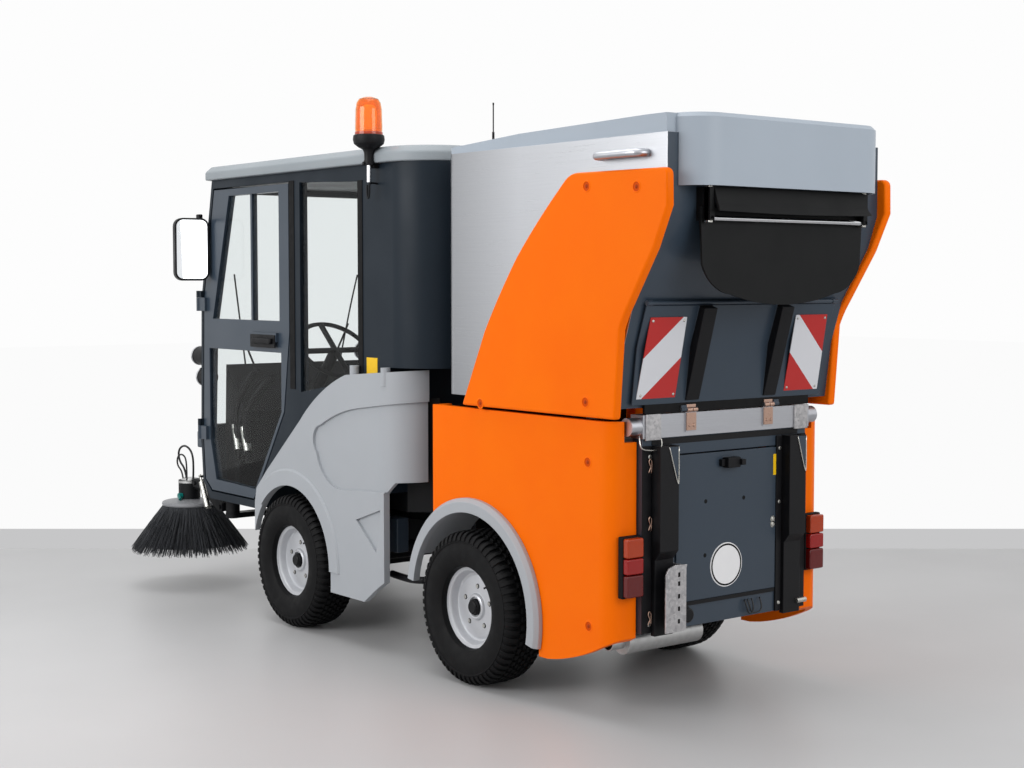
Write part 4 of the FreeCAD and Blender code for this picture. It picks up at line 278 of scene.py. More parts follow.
def fit(piece, name, paint, body, *stands_for, slot=None):
    """Names a piece, gives it its finish and puts it on the body that carries it."""
    if "{}" in name:
        twin = copy_of(piece)
        twin.scale = (1, -1, 1)
        pick(outward(settle(twin)))
        bpy.ops.object.shade_smooth_by_angle(angle=SMOOTH)
        for shape, side in ((piece, "left"), (twin, "right")):
            own, carrier, *nodes = [text.format(side) for text in (name, body, *stands_for)]
            fit(shape, own, paint, carrier, *nodes, slot=slot)
        return piece
    piece.name = piece.data.name = name
    piece.data.materials.clear()
    piece.data.materials.append(paint)
    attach(piece, body)
    if stands_for:
        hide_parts(*stands_for)
    fresh()
    print(name, "on", body, len(getattr(piece.data, "polygons", ())), "faces")
    return piece


def painted(piece, paint, test):
    """Gives the faces that pass a test of middle and normal, in mm from the axle, a finish."""
    piece.data.materials.append(paint)
    shift = Vector((AXLE_BACK * MM, 0, 0))
    for face in piece.data.polygons:
        if test((face.center + shift) / MM, face.normal):
            face.material_index = len(piece.data.materials) - 1


def dressed(node, paint, width, segments=2, sharp=30, arched=False):
    """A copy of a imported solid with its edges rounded, which stands for it. Flat faces of an
    arched piece are split until none is hollow, so that none is drawn across the arch."""
    body = frame["nodes"][node]["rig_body"]
    piece = copy_of(frame["nodes"][node])
    edit(piece)
    bpy.ops.mesh.remove_doubles(threshold=MERGE)
    bpy.ops.mesh.dissolve_limited(angle_limit=FLAT)
    if arched:
        bpy.ops.mesh.vert_connect_concave()
    done()
    softened(piece, width, segments, sharp)
    return fit(piece, node + ".finished", paint, body, node)


# %% [markdown]
# ## Camera
# The photographer stands behind the left rear corner, a little above the middle of the
# machine, and looks slightly down. The lens comes from the picture's vanishing points.

# %% Camera
VIEW_TURN = math.radians(-37.85)
VIEW_DOWN = math.radians(3.61)
bpy.ops.object.camera_add(location=(-5.483, 3.974, 1.464),
                          rotation=(math.pi / 2 - VIEW_DOWN, 0, VIEW_TURN - math.pi / 2))
camera = bpy.context.object
camera.data.sensor_width = 36
camera.data.lens = 56.85
camera.data.clip_start = 0.05
bpy.context.scene.camera = camera
bpy.context.scene.view_settings.view_transform = "Standard"
print("camera at", [round(v, 3) for v in camera.location], "lens", camera.data.lens)

# %% [markdown]
# ## Finishes
# Colours are written as sRGB hex values, as a picker shows them, and one function turns them
# to the linear values that the shaders mix. One more function adds a node with its settings
# and links. Patterns read Object coordinates, so a size in millimetres becomes a scale.

# %% Colour and node helpers
def linear(code):
    """An sRGB hex colour as linear red, green, blue and alpha."""
    levels = [int(code[i:i + 2], 16) / 255 for i in (1, 3, 5)]
    return (*[v / 12.92 if v <= 0.04045 else ((v + 0.055) / 1.055) ** 2.4 for v in levels], 1)


def grain(size):
    """The scale at which a pattern's features are about size mm across."""
    return 1000 / size


def feed(tree, node, sockets):
    """Gives a node's sockets values, or links them to outputs or to a node's first output."""
    for name, value in sockets.items():
        if isinstance(value, bpy.types.Node):
            value = value.outputs[0]
        if isinstance(value, bpy.types.NodeSocket):
            tree.links.new(value, node.inputs[name])
        else:
            node.inputs[name].default_value = value


def add(tree, kind, sockets={}, **settings):
    """Adds a node with its settings and what its sockets are fed with."""
    node = tree.nodes.new("ShaderNode" + kind)
    for name, value in settings.items():
        setattr(node, name, value)
    feed(tree, node, sockets)
    return node


def blank(name):
    """A new material with its shader, output and the coordinates of the piece."""
    material = bpy.data.materials.new(name)
    material.use_nodes = True
    tree = material.node_tree
    tree.nodes.clear()
    shader = add(tree, "BsdfPrincipled")
    add(tree, "OutputMaterial", {"Surface": shader})
    return material, tree, shader, add(tree, "TexCoord").outputs["Object"]


def finish(name, main, other, patch, rough, bump_size, bump, metal=0.0, coat=0.0,
           stretch=(1, 1, 1), sheen=0.0, shine=0.35):
    """A finish whose colour drifts between two shades over patches of a real size, whose
    roughness drifts with it, and whose surface has a fine relief of a real size, in mm."""
    material, tree, shader, place = blank(name)
    pulled = add(tree, "Mapping", {"Vector": place, "Scale": stretch})
    cloud = add(tree, "TexNoise", {"Vector": pulled, "Scale": grain(patch), "Detail": 3.0})
    fine = add(tree, "TexNoise", {"Vector": pulled, "Scale": grain(bump_size), "Detail": 2.0})
    feed(tree, shader, {
        "Base Color": add(tree, "MixRGB", {"Fac": cloud, "Color1": linear(main),
                                           "Color2": linear(other)}),
        "Roughness": add(tree, "MapRange", {"Value": cloud, "From Min": 0.3, "From Max": 0.7,
                                            "To Min": rough[0], "To Max": rough[1]}),
        "Normal": add(tree, "Bump", {"Height": fine, "Strength": bump[0],
                                     "Distance": bump[1] * MM}),
        "Metallic": metal, "Coat Weight": coat, "Coat Roughness": 0.15, "Sheen Weight": sheen})
    if not metal:
        shader.inputs["Specular IOR Level"].default_value = shine
    return material


# %% [markdown]
# ### Plastics
# The orange covers and the pale grey wings are rotationally moulded polyethylene: coloured
# right through, satin, with the faint leather grain of the mould. The grain is really about
# 0.5 mm and is drawn at 1.6 mm, so that it shows as a soft break in the highlights.

# %% Plastics and rubber
orange = finish("moulded orange polyethylene", "#ff7600", "#fb6a00", 240,
                (0.36, 0.44), 1.6, (0.10, 0.25), shine=0.08)
pale_grey = finish("moulded pale grey polyethylene", "#abafb4", "#a3a7ac", 260,
                   (0.40, 0.50), 1.6, (0.12, 0.25))
roof_grey = finish("glass fibre roof in pale blue grey", "#abb5c0", "#a3adb8",
                   300, (0.38, 0.46), 2.0, (0.06, 0.2), shine=0.25)
cab_grey = finish("glass fibre roof in plain grey", "#989fa4", "#8f969b", 300,
                  (0.38, 0.46), 2.0, (0.06, 0.2), shine=0.25)
black_plastic = finish("black injection moulded plastic", "#0c0c0e", "#131316",
                       40, (0.42, 0.55), 0.9, (0.20, 0.15), shine=0.2)
seal = finish("black sealing rubber", "#070708", "#0f0f11", 30, (0.55, 0.7),
              1.2, (0.2, 0.1), shine=0.15)
# Vulcanised tyre rubber is matt and very dark, with dusty greyer patches.
tyre_rubber = finish("vulcanised tyre rubber", "#050506", "#0e0e10", 35, (0.55, 0.72),
                     1.4, (0.30, 0.2), shine=0.16)
# Rubber sheet for the hopper's shield and flap comes calendered, smooth with a dull bloom.
sheet_rubber = finish("calendered rubber sheet", "#0c0d0e", "#131415", 120,
                      (0.5, 0.62), 1.5, (0.12, 0.2), shine=0.15)
bristle = finish("black polypropylene bristle", "#050608", "#34373d", 9,
                 (0.26, 0.42), 2.0, (0.1, 0.1), stretch=(1, 1, 0.12), shine=0.35)
brush_grey = finish("grey brush disc plastic", "#8f9093", "#85868a", 60, (0.4, 0.5),
                    1.4, (0.12, 0.15))
seat_vinyl = finish("black grained seat vinyl", "#141416", "#1b1b1e", 25,
                    (0.45, 0.6), 1.8, (0.35, 0.3), sheen=0.1)
hose_rubber = finish("smooth black hose rubber", "#0f0f11", "#19191b", 20,
                     (0.3, 0.4), 1.0, (0.1, 0.1))
# Where a screw sits deep in an orange cover, the moulded wall round it keeps the light out.
well_shade = finish("orange polyethylene in the shade of a well", "#d44e00",
                    "#c84600", 12, (0.4, 0.5), 1.6, (0.1, 0.2), shine=0.08)
well_deep = finish("shaded screw head", "#a83c04", "#983403", 6, (0.35, 0.45),
                   1.2, (0.1, 0.1), shine=0.1)

# %% [markdown]
# ### Paints and enamels
# The cab and the tail are steel with a dark blue-grey powder coat. Powder flows out with a
# slight orange peel of about 2 mm. The chassis is plain black, dipped and matt.

# %% Paints
slate = finish("dark blue grey powder coat", "#35414e", "#303b47", 200,
               (0.30, 0.40), 2.2, (0.08, 0.2), coat=0.15)
dark_slate = finish("dark grey powder coat", "#1f2831", "#1a222a", 200,
                    (0.38, 0.48), 2.2, (0.08, 0.2), shine=0.15)
chassis_black = finish("dipped black chassis paint", "#0d0e10", "#141518", 60,
                       (0.45, 0.6), 1.8, (0.15, 0.2), shine=0.2)
silver = finish("silver wheel enamel", "#cbcdd1", "#bdbfc4", 40, (0.30, 0.42),
                0.8, (0.08, 0.1), metal=0.35, coat=0.3)
yellow = finish("plain yellow film", "#f6c70a", "#eebc05", 20, (0.3, 0.4), 1.0,
                (0.05, 0.05))
teal = finish("teal hose fitting plastic", "#0f7f78", "#0b6a66", 10,
              (0.3, 0.4), 0.8, (0.1, 0.1))
sign_white = finish("white sign film", "#f1f1f2", "#eaeaec", 60, (0.35, 0.45), 1.5,
                    (0.05, 0.05))

# %% [markdown]
# ### Metals
# The hopper is brushed stainless sheet: long fine scratches that run along the sheet. They
# are some 0.1 mm wide, and are drawn as streaks of 3 mm, which still read as brushed. Metals
# keep the shader's own index of refraction.

# %% Metals
ALONG_X, ALONG_Y = (0.012, 1, 1), (1, 0.012, 1)
PAINTED_SHADE_FROM, PAINTED_SHADE_TO, PAINTED_SHADE_TONE = -1.05, -0.60, 0.62
steel = finish("brushed stainless sheet", "#c6c8cc", "#b9bbc0", 3.0,
               (0.27, 0.36), 2.2, (0.05, 0.05), metal=1.0, stretch=ALONG_X)
# Towards the hopper's front the sheet bends away and its brushed face goes darker. This is painted
# shade: the base colour is scaled down towards the front.
tree = steel.node_tree
tone = next(node for node in tree.nodes if node.type == "MIX_RGB")
along = add(tree, "SeparateXYZ", {"Vector": add(tree, "TexCoord").outputs["Object"]})
bend = add(tree, "MapRange", {"Value": along.outputs["X"], "From Min": PAINTED_SHADE_FROM,
                              "From Max": PAINTED_SHADE_TO, "To Min": 1.0, "To Max": PAINTED_SHADE_TONE})
shaded_steel_colour = add(tree, "VectorMath", {0: tone, "Scale": bend}, operation="SCALE")
feed(tree, tree.nodes["Principled BSDF"], {"Base Color": shaded_steel_colour})
aluminium = finish("drawn aluminium section", "#c0c1c6", "#b1b3b8", 3.0,
                   (0.30, 0.40), 2.0, (0.06, 0.05), metal=1.0, stretch=ALONG_Y)
bright = finish("ground and chromed bar", "#d9dadd", "#cfd0d3", 3.0, (0.08, 0.14),
                2.0, (0.02, 0.05), metal=1.0)
zinc_plate = finish("bright zinc plating", "#c9c8c2", "#b6b5b0", 6.0,
                    (0.22, 0.34), 1.5, (0.1, 0.05), metal=1.0)
bronze = finish("yellow chromated steel", "#cbaa98", "#b89686", 6.0, (0.25, 0.38),
                1.5, (0.1, 0.05), metal=1.0)
exhaust = finish("aluminised silencer steel", "#c2c2c2", "#a9a9a8", 22,
                 (0.33, 0.48), 4.0, (0.15, 0.1), metal=1.0)
mirror_glass = finish("silvered mirror glass", "#e9ecef", "#e5e9ec", 200,
                      (0.01, 0.02), 120.0, (0.002, 0.01), metal=1.0)

# %% [markdown]
# Hot-dip galvanising freezes into flat crystals, the spangle, some 8 mm across. A Voronoi
# pattern gives each crystal its own grey.

# %% Galvanised steel
galvanised, tree, shader, place = blank("hot dip galvanised steel")
crystal = add(tree, "TexVoronoi", {"Vector": place, "Scale": grain(9)})
grey = add(tree, "RGBToBW", {"Color": crystal.outputs["Color"]})
feed(tree, shader, {
    "Base Color": add(tree, "MixRGB", {"Fac": grey, "Color1": linear("#9c9b9d"),
                                       "Color2": linear("#c2c0c1")}),
    "Roughness": add(tree, "MapRange", {"Value": grey, "To Min": 0.34, "To Max": 0.52}),
    "Metallic": 0.85})

# %% [markdown]
# ### Glass and lamps
# Window glass is clear with a faint grey tint. Lamp lenses are coloured acrylic with pressed
# ribs about 4 mm apart. The beacon's dome is clear amber acrylic over a bright reflector.

# %% Glass and lenses
def clear(name, colour, rough, ribs=0.0, through=1.0, index=1.49):
    """Something light passes through, with pressed ribs across it when ribs is a size."""
    material, tree, shader, place = blank(name)
    dirt = add(tree, "TexNoise", {"Vector": place, "Scale": grain(ribs or 90), "Detail": 2.0})
    feed(tree, shader, {
        "Base Color": linear(colour), "Roughness": rough, "IOR": index,
        "Transmission Weight": through,
        "Normal": add(tree, "Bump", {"Height": dirt, "Strength": 0.3 if ribs else 0.01,
                                     "Distance": 0.4 * MM})})
    return material


# The cab's windows show almost no reflection, as glass does in front of a dark room, so their
# index is set far below the usual 1.5.
window = clear("tinted window glass", "#f1f4f4", 0.0, index=1.12)
amber = clear("clear amber acrylic", "#ffa024", 0.03, through=0.85)
lens_red, lens_amber, lens_dark = [
    clear(name, colour, 0.08, ribs=4.0, through=0.12)
    for name, colour in (("red lamp acrylic", "#9c100b"), ("amber lamp acrylic", "#b23a0c"),
                         ("dark red lamp acrylic", "#650b09"))]
lens_clear = clear("clear lamp glass", "#f4f6f8", 0.02, ribs=9.0)
glow, tree, shader, place = blank("amber reflector")
patches = add(tree, "TexNoise", {"Vector": place, "Scale": grain(14), "Detail": 1.0})
tone = add(tree, "MixRGB", {"Fac": patches, "Color1": linear("#ffc848"),
                            "Color2": linear("#ffa21c")})
feed(tree, shader, {"Base Color": tone, "Emission Color": tone, "Emission Strength": 0.8,
                    "Roughness": 0.4})

# %% [markdown]
# ### Plates that are seen from far away
# The warning plates at the back have slanted red and white retroreflective stripes.
# The white band is 147 mm high and rises towards the machine's middle on both sides, so the
# right one is mirrored: a share of the sideways place is added to the height, and the sum
# is cut into even and odd bands.

# %% Warning stripes
BAND_LOW, BAND_WIDE, BAND_SLANT = 1.448, 0.147, 0.88


def stripes(name, slant):
    """Red film with a white band where height plus a slanted share of the width says so."""
    material, tree, shader, place = blank(name)
    parts = add(tree, "SeparateXYZ", {"Vector": place}).outputs
    value = parts["Y"]
    for operation, other in (("MULTIPLY", slant), ("ADD", parts["Z"]), ("SUBTRACT", BAND_LOW),
                             ("DIVIDE", 2 * BAND_WIDE), ("FRACT", 0), ("LESS_THAN", 0.5)):
        value = add(tree, "Math", {0: value, 1: other}, operation=operation)
    bead = add(tree, "TexNoise", {"Vector": place, "Scale": grain(2.5), "Detail": 1.0})
    feed(tree, shader, {
        "Base Color": add(tree, "MixRGB", {"Fac": value, "Color1": linear("#b8201d"),
                                           "Color2": linear("#d8d9de")}),
        "Normal": add(tree, "Bump", {"Height": bead, "Strength": 0.1, "Distance": 0.1 * MM}),
        "Roughness": 0.28})
    return material


stripes_left = stripes("red and white warning film, left", BAND_SLANT)
stripes_right = stripes("red and white warning film, right", -BAND_SLANT)

# %% [markdown]
# ## Floor and light
# The studio has a pale grey painted floor that meets a white wall behind the machine. A real
# wall would stand in the way of other views, so the floor itself turns white past the line of
# the wall, with the grey strip of the skirting between. Light Path keeps it plain white for
# the camera, mirrors and glass, while the machine still throws its shadow on the grey part.

# %% Floor
FLOOR_HALF = 30.0
WALL_AT = 2.05
SKIRTING_WIDE = 0.72


def not_light(tree):
    """1 for the rays of the camera, of mirrors and of glass, 0 for what lights the machine."""
    rays = add(tree, "LightPath").outputs
    seen = add(tree, "Math", {0: rays["Is Camera Ray"], 1: rays["Is Glossy Ray"]},
               operation="ADD")
    return add(tree, "Math", {0: seen, 1: rays["Is Transmission Ray"]}, operation="ADD",
               use_clamp=True)


fresh()
bpy.ops.mesh.primitive_plane_add(size=2 * FLOOR_HALF)
floor = bpy.context.object
floor.name = "studio_floor"
paint, tree, shader, place = blank("pale grey floor paint")
ahead = add(tree, "VectorMath", {0: place, 1: (math.cos(VIEW_TURN), math.sin(VIEW_TURN), 0)},
            operation="DOT_PRODUCT").outputs["Value"]
cloud = add(tree, "TexNoise", {"Vector": place, "Scale": grain(900), "Detail": 3.0})
feed(tree, shader, {
    "Base Color": add(tree, "MixRGB", {"Fac": cloud, "Color1": linear("#c4c4c5"),
                                       "Color2": linear("#bcbcbd")}),
    "Roughness": add(tree, "MapRange", {"Value": cloud, "To Min": 0.34, "To Max": 0.5})})
past = add(tree, "Math", {0: ahead, 1: WALL_AT}, operation="GREATER_THAN")
skirt = add(tree, "Math", {0: ahead, 1: WALL_AT + SKIRTING_WIDE}, operation="LESS_THAN")
tone = add(tree, "MixRGB", {"Fac": skirt, "Color1": linear("#fbfbfb"),
                            "Color2": linear("#c6c6c7")})
wall = add(tree, "Emission", {"Color": tone})
mask = add(tree, "Math", {0: past, 1: not_light(tree)}, operation="MULTIPLY")
mixed = add(tree, "MixShader", {0: mask, 1: shader, 2: wall})
feed(tree, tree.nodes["Material Output"], {"Surface": mixed})
floor.data.materials.append(paint)

# %% [markdown]
# Broad lamps hang over the machine and beside it, as large soft boxes do. The world gives the
# rest, white for the camera and dimmer for what it lights.

# %% Lamps and world
world = bpy.data.worlds.new("white studio")
bpy.context.scene.world = world
world.use_nodes = True
tree = world.node_tree
tree.nodes.clear()
WORLD_LIGHT = 0.55
level = add(tree, "MapRange", {"Value": not_light(tree), "To Min": WORLD_LIGHT, "To Max": 1.0})
sky = add(tree, "Background", {"Color": linear("#fdfdfd"), "Strength": level})
add(tree, "OutputWorld", {"Surface": sky})
for name, place, aim, size, power in (
        ("overhead", (0.0, 0.5, 4.6), (0, 0, 0.8), (4.5, 3.0), 85),
        ("left_side", (0.2, 5.2, 2.6), (0, 0, 1.0), (3.5, 2.2), 125),
        ("rear", (-5.2, -0.4, 2.4), (-1.0, 0, 1.2), (2.5, 2.0), 55)):
    fresh()
    bpy.ops.object.light_add(type="AREA", location=place)
    light = bpy.context.object
    light.name = name
    light.rotation_euler = (Vector(aim) - Vector(place)).to_track_quat("-Z", "Y").to_euler()
    light.data.shape = "RECTANGLE"
    light.data.size, light.data.size_y = size
    light.data.energy = power
    print("lamp", name, power, "W")

# %% [markdown]
# ## The big panels
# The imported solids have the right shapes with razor-sharp edges. A copy of each gets its
# edges rounded by as much as the real process leaves, because a rounded edge catches the
# light as a thin bright line and makes a panel look real.

# %% Moulded and pressed panels, chassis, axles and cab fittings
PANELS = (("lower_cover_{}", orange, 7, 3), ("hopper_wing_{}", orange, 9, 3),
          ("rear_fender_{}", pale_grey, 4, 3, 30, True), ("front_wing_{}", pale_grey, 5, 3, 34),
          ("door_{}", slate, 3), ("hopper_roof", roof_grey, 5, 3), ("cab_roof", cab_grey, 6, 3),
          ("cab_frame", dark_slate, 3), ("tail_frame", slate, 2), ("tail_panel", slate, 2),
          ("guide_channels", black_plastic, 2), ("hinge_beam", aluminium, 1.5),
          ("hopper_shield", sheet_rubber, 2), ("tow_bracket", galvanised, 1),
          ("silencer", exhaust, 4, 3), ("rear_chassis", chassis_black, 2),
          ("front_chassis", chassis_black, 2), ("rear_axle", chassis_black, 2),
          ("front_axle", chassis_black, 2), ("engine_block", chassis_black, 8),
          ("dashboard", black_plastic, 2), ("suction_duct", black_plastic, 2),
          ("suction_nozzle", chassis_black, 2), ("ram_barrel", chassis_black, 1),
          ("ram_rod", bright, 0.5), ("headlamps", black_plastic, 2), ("windscreen", window, 0),
          ("cab_panes", window, 0), ("door_glass_{}", window, 0),
          ("brush_bracket_{}", chassis_black, 1), ("brush_arm_{}", chassis_black, 1),
          ("brush_head_{}", chassis_black, 1))
for node, *edges in PANELS:
    for side in ("left", "right") if "{}" in node else ("",):
        dressed(node.format(side), *edges)

# %% [markdown]
# The tank's back wall is painted like the hatch, and the ribs pressed into the hatch are black. Up
# under the canopy the wall's slate is partly painted shade: it stands in for the dark gap there.
# Both stay one piece, and the faces that differ are found by their place.

# %% Hopper tank and hatch
HATCH_FOOT_X, HATCH_FOOT_Z, HATCH_LEAN = -782, 1062, 0.21
RIB_INNER, RIB_OUTER, RIB_PROUD = 150, 222, 6
WALL_X, WALL_HALF, WALL_TOP = -700, 496, 1900
tank = dressed("hopper_tank", steel, 1.5)
# Painted shade in part: the slate reaches up under the canopy, where it stands for the shade of the
# gap there.
painted(tank, slate, lambda middle, normal: middle.x < WALL_X and abs(middle.y) < WALL_HALF
        and middle.z < WALL_TOP and normal.x < -0.2)


def hatch_face(z):
    """How far forward the leaning hatch's outer face is at a height."""
    return HATCH_FOOT_X - HATCH_LEAN * (z - HATCH_FOOT_Z)


hatch = dressed("hopper_hatch", slate, 2)
painted(hatch, black_plastic, lambda middle, normal: RIB_INNER < abs(middle.y) < RIB_OUTER
        and middle.x < hatch_face(middle.z) - RIB_PROUD)

# %% [markdown]
# ## Tyres
# A turf-and-road tyre: a smooth bulging sidewall with one thin ring, square shoulders, and a
# tread of small blocks, about sixty round each shoulder. The carcass is a profile spun round
# the axle. Each row of blocks is one block, shaped once and spun as copies.

# %% Tyre carcass and tread
HUB = (0, 468, 282)
TRACK, WHEEL_Z = HUB[1:]
BLOCKS = 58
half = [(150, 66), (153, 76), (162, 82), (176, 88), (196, 92), (216, 92), (232, 89), (239, 88),
        (241, 90.5), (244, 90.5), (246, 87), (257, 83), (266, 76), (271, 66), (273, 40)]
carcass = half + [(273.5, 0)] + [(radius, -along) for radius, along in reversed(half)]
carcass += [(145, -40), (145, 40), (150, 66)]
tyre = turned(carcass, HUB, LEFT, steps=96)


def tread_row(outline, length, offset):
    """A row of blocks: a side outline of (across, radius) given a length round the tyre."""
    start = -length / 2
    row = plate([(start, TRACK + along, WHEEL_Z + radius) for along, radius in outline],
                (length, 0, 0), 1.2, 1)
    edit(row)
    step = math.tau / BLOCKS
    centre = spot(*HUB)
    bpy.ops.mesh.spin(steps=BLOCKS - 1, dupli=True, angle=math.tau - step, center=centre,
                      axis=LEFT)
    done()
    row.data.transform(about(centre, offset * step, "Y"))
    return row


SHOULDER = [(46, 270), (46, 281.5), (64, 280), (78, 273), (88, 258), (90, 246), (84, 246),
            (70, 264)]
rows = [tread_row(SHOULDER, 15, 0.0),
        tread_row([(-across, radius) for across, radius in SHOULDER], 15, 0.5)]
for middle, offset in ((-31, 0.0), (-10, 0.5), (10, 0.0), (31, 0.5)):
    rows.append(tread_row([(middle - 8, 270), (middle - 7, 281.8), (middle + 7, 281.8),
                           (middle + 8, 270)], 19, offset))
tyre = joined(*rows, tyre)

# %% [markdown]
# ## Wheel rims
# A pressed steel rim: a rolled flange, two steps down a deep dish, and a flat disc with five nuts
# in dark recesses round a raised hub. The recesses are not cut into the disc; black rings round the
# nuts are painted shade for them. The shell is spun from one profile.
# The wheels on the right are the left ones turned half round.

# %% Rims
NUTS, NUT_CIRCLE, FIRST_NUT = 5, 76, 20
WHEELBASE = 1264


def nut_ring(low, high, radius, sides):
    """Five short studs round the hub, from one height above the wheel's middle to another."""
    studs = []
    for i in range(NUTS):
        angle = math.radians(FIRST_NUT + 360 / NUTS * i)
        x, z = NUT_CIRCLE * math.cos(angle), WHEEL_Z + NUT_CIRCLE * math.sin(angle)
        studs.append(rod((x, TRACK + low, z), (x, TRACK + high, z), radius, sides, 0.5))
    return joined(*studs)


rim = turned([(0, 29), (33, 29), (36, 37), (41, 38), (46, 35), (50, 27), (60, 25), (108, 25),
              (119, 20), (126, 22), (129, 30), (131, 44), (136, 50), (147, 53), (150, 60),
              (151, 68), (158, 72), (163, 78), (168, 81), (172, 79), (172, 74), (166, 70),
              (157, 64), (154, 0), (157, -64), (166, -70), (172, -74), (172, -79), (168, -81),
              (163, -78), (156, -70), (150, -60), (136, -45), (131, -20), (129, 8), (119, 14),
              (60, 19), (0, 19)], HUB, LEFT, steps=96)
# Painted shade: a black ring round each nut stands in for the shade in its recess.
recess_shade = nut_ring(20, 25.6, 9.5, 24)
cap = turned([(0, 52), (20, 52), (24, 49), (25, 44), (27, 42), (27, 28)], HUB, LEFT, steps=32)
# Six-sided nuts, 15 mm across, stand in the dark recesses.
nuts = nut_ring(22, 29, 7.5, 6)
valve = rod((-104, TRACK + 50, WHEEL_Z + 93), (-96, TRACK + 68, WHEEL_Z + 86), 3.5, 10)
for part, name, paint, slot, *stands_for in (
        (tyre, "tyre_", tyre_rubber, None, "tyre_"),
        (rim, "rim_", silver, None, "rim_"),
        (cap, "hub_cap_", black_plastic, None),
        (recess_shade, "nut_seats_", seal, None),
        (nuts, "wheel_nuts_", zinc_plate, "rim_silver"),
        (valve, "valve_", seal, "tyre")):
    for axle, forward in (("rear", 0), ("front", WHEELBASE)):
        for side, turn in (("left", 0.0), ("right", math.pi)):
            corner = axle + "_" + side
            twin = copy_of(part)
            twin.matrix_world = (Matrix.Translation(FORWARD * forward * MM)
                                 @ about(spot(0, 0, 0), turn, "Z"))
            fit(settle(twin), name + corner + ".wheel", paint, "wheel_" + corner,
                *[node + corner for node in stands_for], slot=slot)
    bpy.data.objects.remove(part)

# %% [markdown]
# ## Side brushes
# Each brush is a grey disc with a dense skirt of stiff plastic bristles that flares outwards
# and down. Bristles are drawn as a curve with one thin spline each, bent by its own weight,
# and given a seed so that each run grows the same brush. A dark cone inside keeps it dense.

# %% Brush disc and bristles
BRUSH = (2400, 440, 0)
# Each of three rings has its root and tip radius and the height that its tips reach down to.
RINGS = ((104, 236, 178), (114, 256, 174), (122, 270, 170))
BRISTLES, BRISTLE_TOP, BRISTLE_RADIUS = 420, 396, 1.9
# How unevenly they lean sideways, in radians, and reach outwards and down, in mm.
UNEVEN_LEAN, UNEVEN_REACH, UNEVEN_DROP = (-0.07, 0.07), (-12, 9), (0, 26)
REACH_BEND, DROP_BEND, TAPER = 0.14, 0.2, 0.35
SEED = 11


def bowed(share, bend):
    """How much of its way a bristle has made at a share of its length, when bend is the
    part that comes late, near its tip."""
    return share * (1 - bend) + bend * share ** 2


disc = turned([(0, 424), (46, 424), (50, 420), (120, 412), (130, 408), (132, 398), (128, 392),
               (60, 392), (0, 394)], BRUSH, UP, steps=64, width=1.0)
core = turned([(60, 392), (98, 392), (126, 362), (176, 288), (226, 208), (218, 204),
               (160, 290), (100, 352), (60, 366), (60, 392)], BRUSH, UP, steps=64)
dice = random.Random(SEED)
skirt = empty_curve()
for root, tip, low in RINGS:
    for i in range(BRISTLES):
        angle = math.tau * (i + dice.random()) / BRISTLES
        lean = angle + dice.uniform(*UNEVEN_LEAN)
        reach, end = tip + dice.uniform(*UNEVEN_REACH), low + dice.uniform(*UNEVEN_DROP)
        spline = skirt.data.splines.new("POLY")
        spline.points.add(3)
        for point, share in zip(spline.points, (0, 0.35, 0.7, 1)):
            now = angle + (lean - angle) * share
            radius = root + (reach - root) * bowed(share, REACH_BEND)
            height = BRISTLE_TOP + (end - BRISTLE_TOP) * bowed(share, DROP_BEND)
            point.co = (*spot(BRUSH[0] + radius * math.cos(now),
                              BRUSH[1] + radius * math.sin(now), height), 1)
            point.radius = 1.0 - TAPER * share
skirt.data.bevel_depth = BRISTLE_RADIUS * MM
skirt.data.bevel_resolution = 0
pick(skirt)
bpy.ops.object.convert(target="MESH")
skirt = outward(bpy.context.object)
fit(disc, "brush_disc_{}", brush_grey, "brush_{}", "brush_{}")
fit(core, "brush_core_{}", bristle, "brush_{}")
fit(skirt, "brush_bristles_{}", bristle, "brush_{}")

# %% [markdown]
# ## The hopper's back
# Below the canopy hangs a rubber flap that is bolted on by a strip, over a round shield. A
# chromed rod runs across them in two steel ties, and warning plates sit on the hatch between
# dark ribs. The plates follow the hatch, which leans, so their corners are worked out.

# %% Flap, rod, ties and bolts
fit(rod((-1048, 372, 1664), (-1048, -378, 1664), 8.5, 24, 1.0), "flap_rod", bright, "hopper")
ties = []
for y in (366, -366):
    ties.append(block((-1056, y - 9, 1650), (-1034, y + 9, 1768), 1.5))
    ties.append(rod((-1057, y, 1664), (-1062, y, 1664), 9, 6, 0.5))
fit(joined(*ties), "rod_ties", zinc_plate, "hopper")
fit(block((-1060, -352, 1730), (-1052, 352, 1764), 1.5), "flap_strip", sheet_rubber, "hopper")
fit(heads([(0, 5), (4, 4.5), (7, 1.5), (7, 0)],
          [(-1060, y, 1748) for y in (300, 152, 0, -152, -300)], 16),
    "flap_bolts", zinc_plate, "hopper")
fit(block((-787, -395, 1031), (-777, 395, 1066), 2), "hatch_foot_seal", seal, "hopper",
    slot="rubber_sheet")

# %% Flared rubber flap
FLAP_X, FLAP_Z, FLAP_HALF, FLAP_FLARE, FLAP_SAG, FLAP_STEPS = -1058, 1686, 352, 1.03, 5, 12
foot = [(FLAP_X - 30, FLAP_HALF * (1 - 2 * i / FLAP_STEPS) * FLAP_FLARE,
         FLAP_Z - FLAP_SAG * math.sin(math.pi * i / FLAP_STEPS)) for i in range(FLAP_STEPS + 1)]
flap = plate([(FLAP_X, 345, 1738), (FLAP_X, -345, 1738)] + foot[::-1], (-5, 0, 0), 1.0)
fit(flap, "rubber_flap", sheet_rubber, "hopper")

# %% Warning plates
def on_hatch(y, z, lift):
    """A place on the leaning hatch, lifted off its sheet by a length."""
    return (hatch_face(z) - lift, y, z)


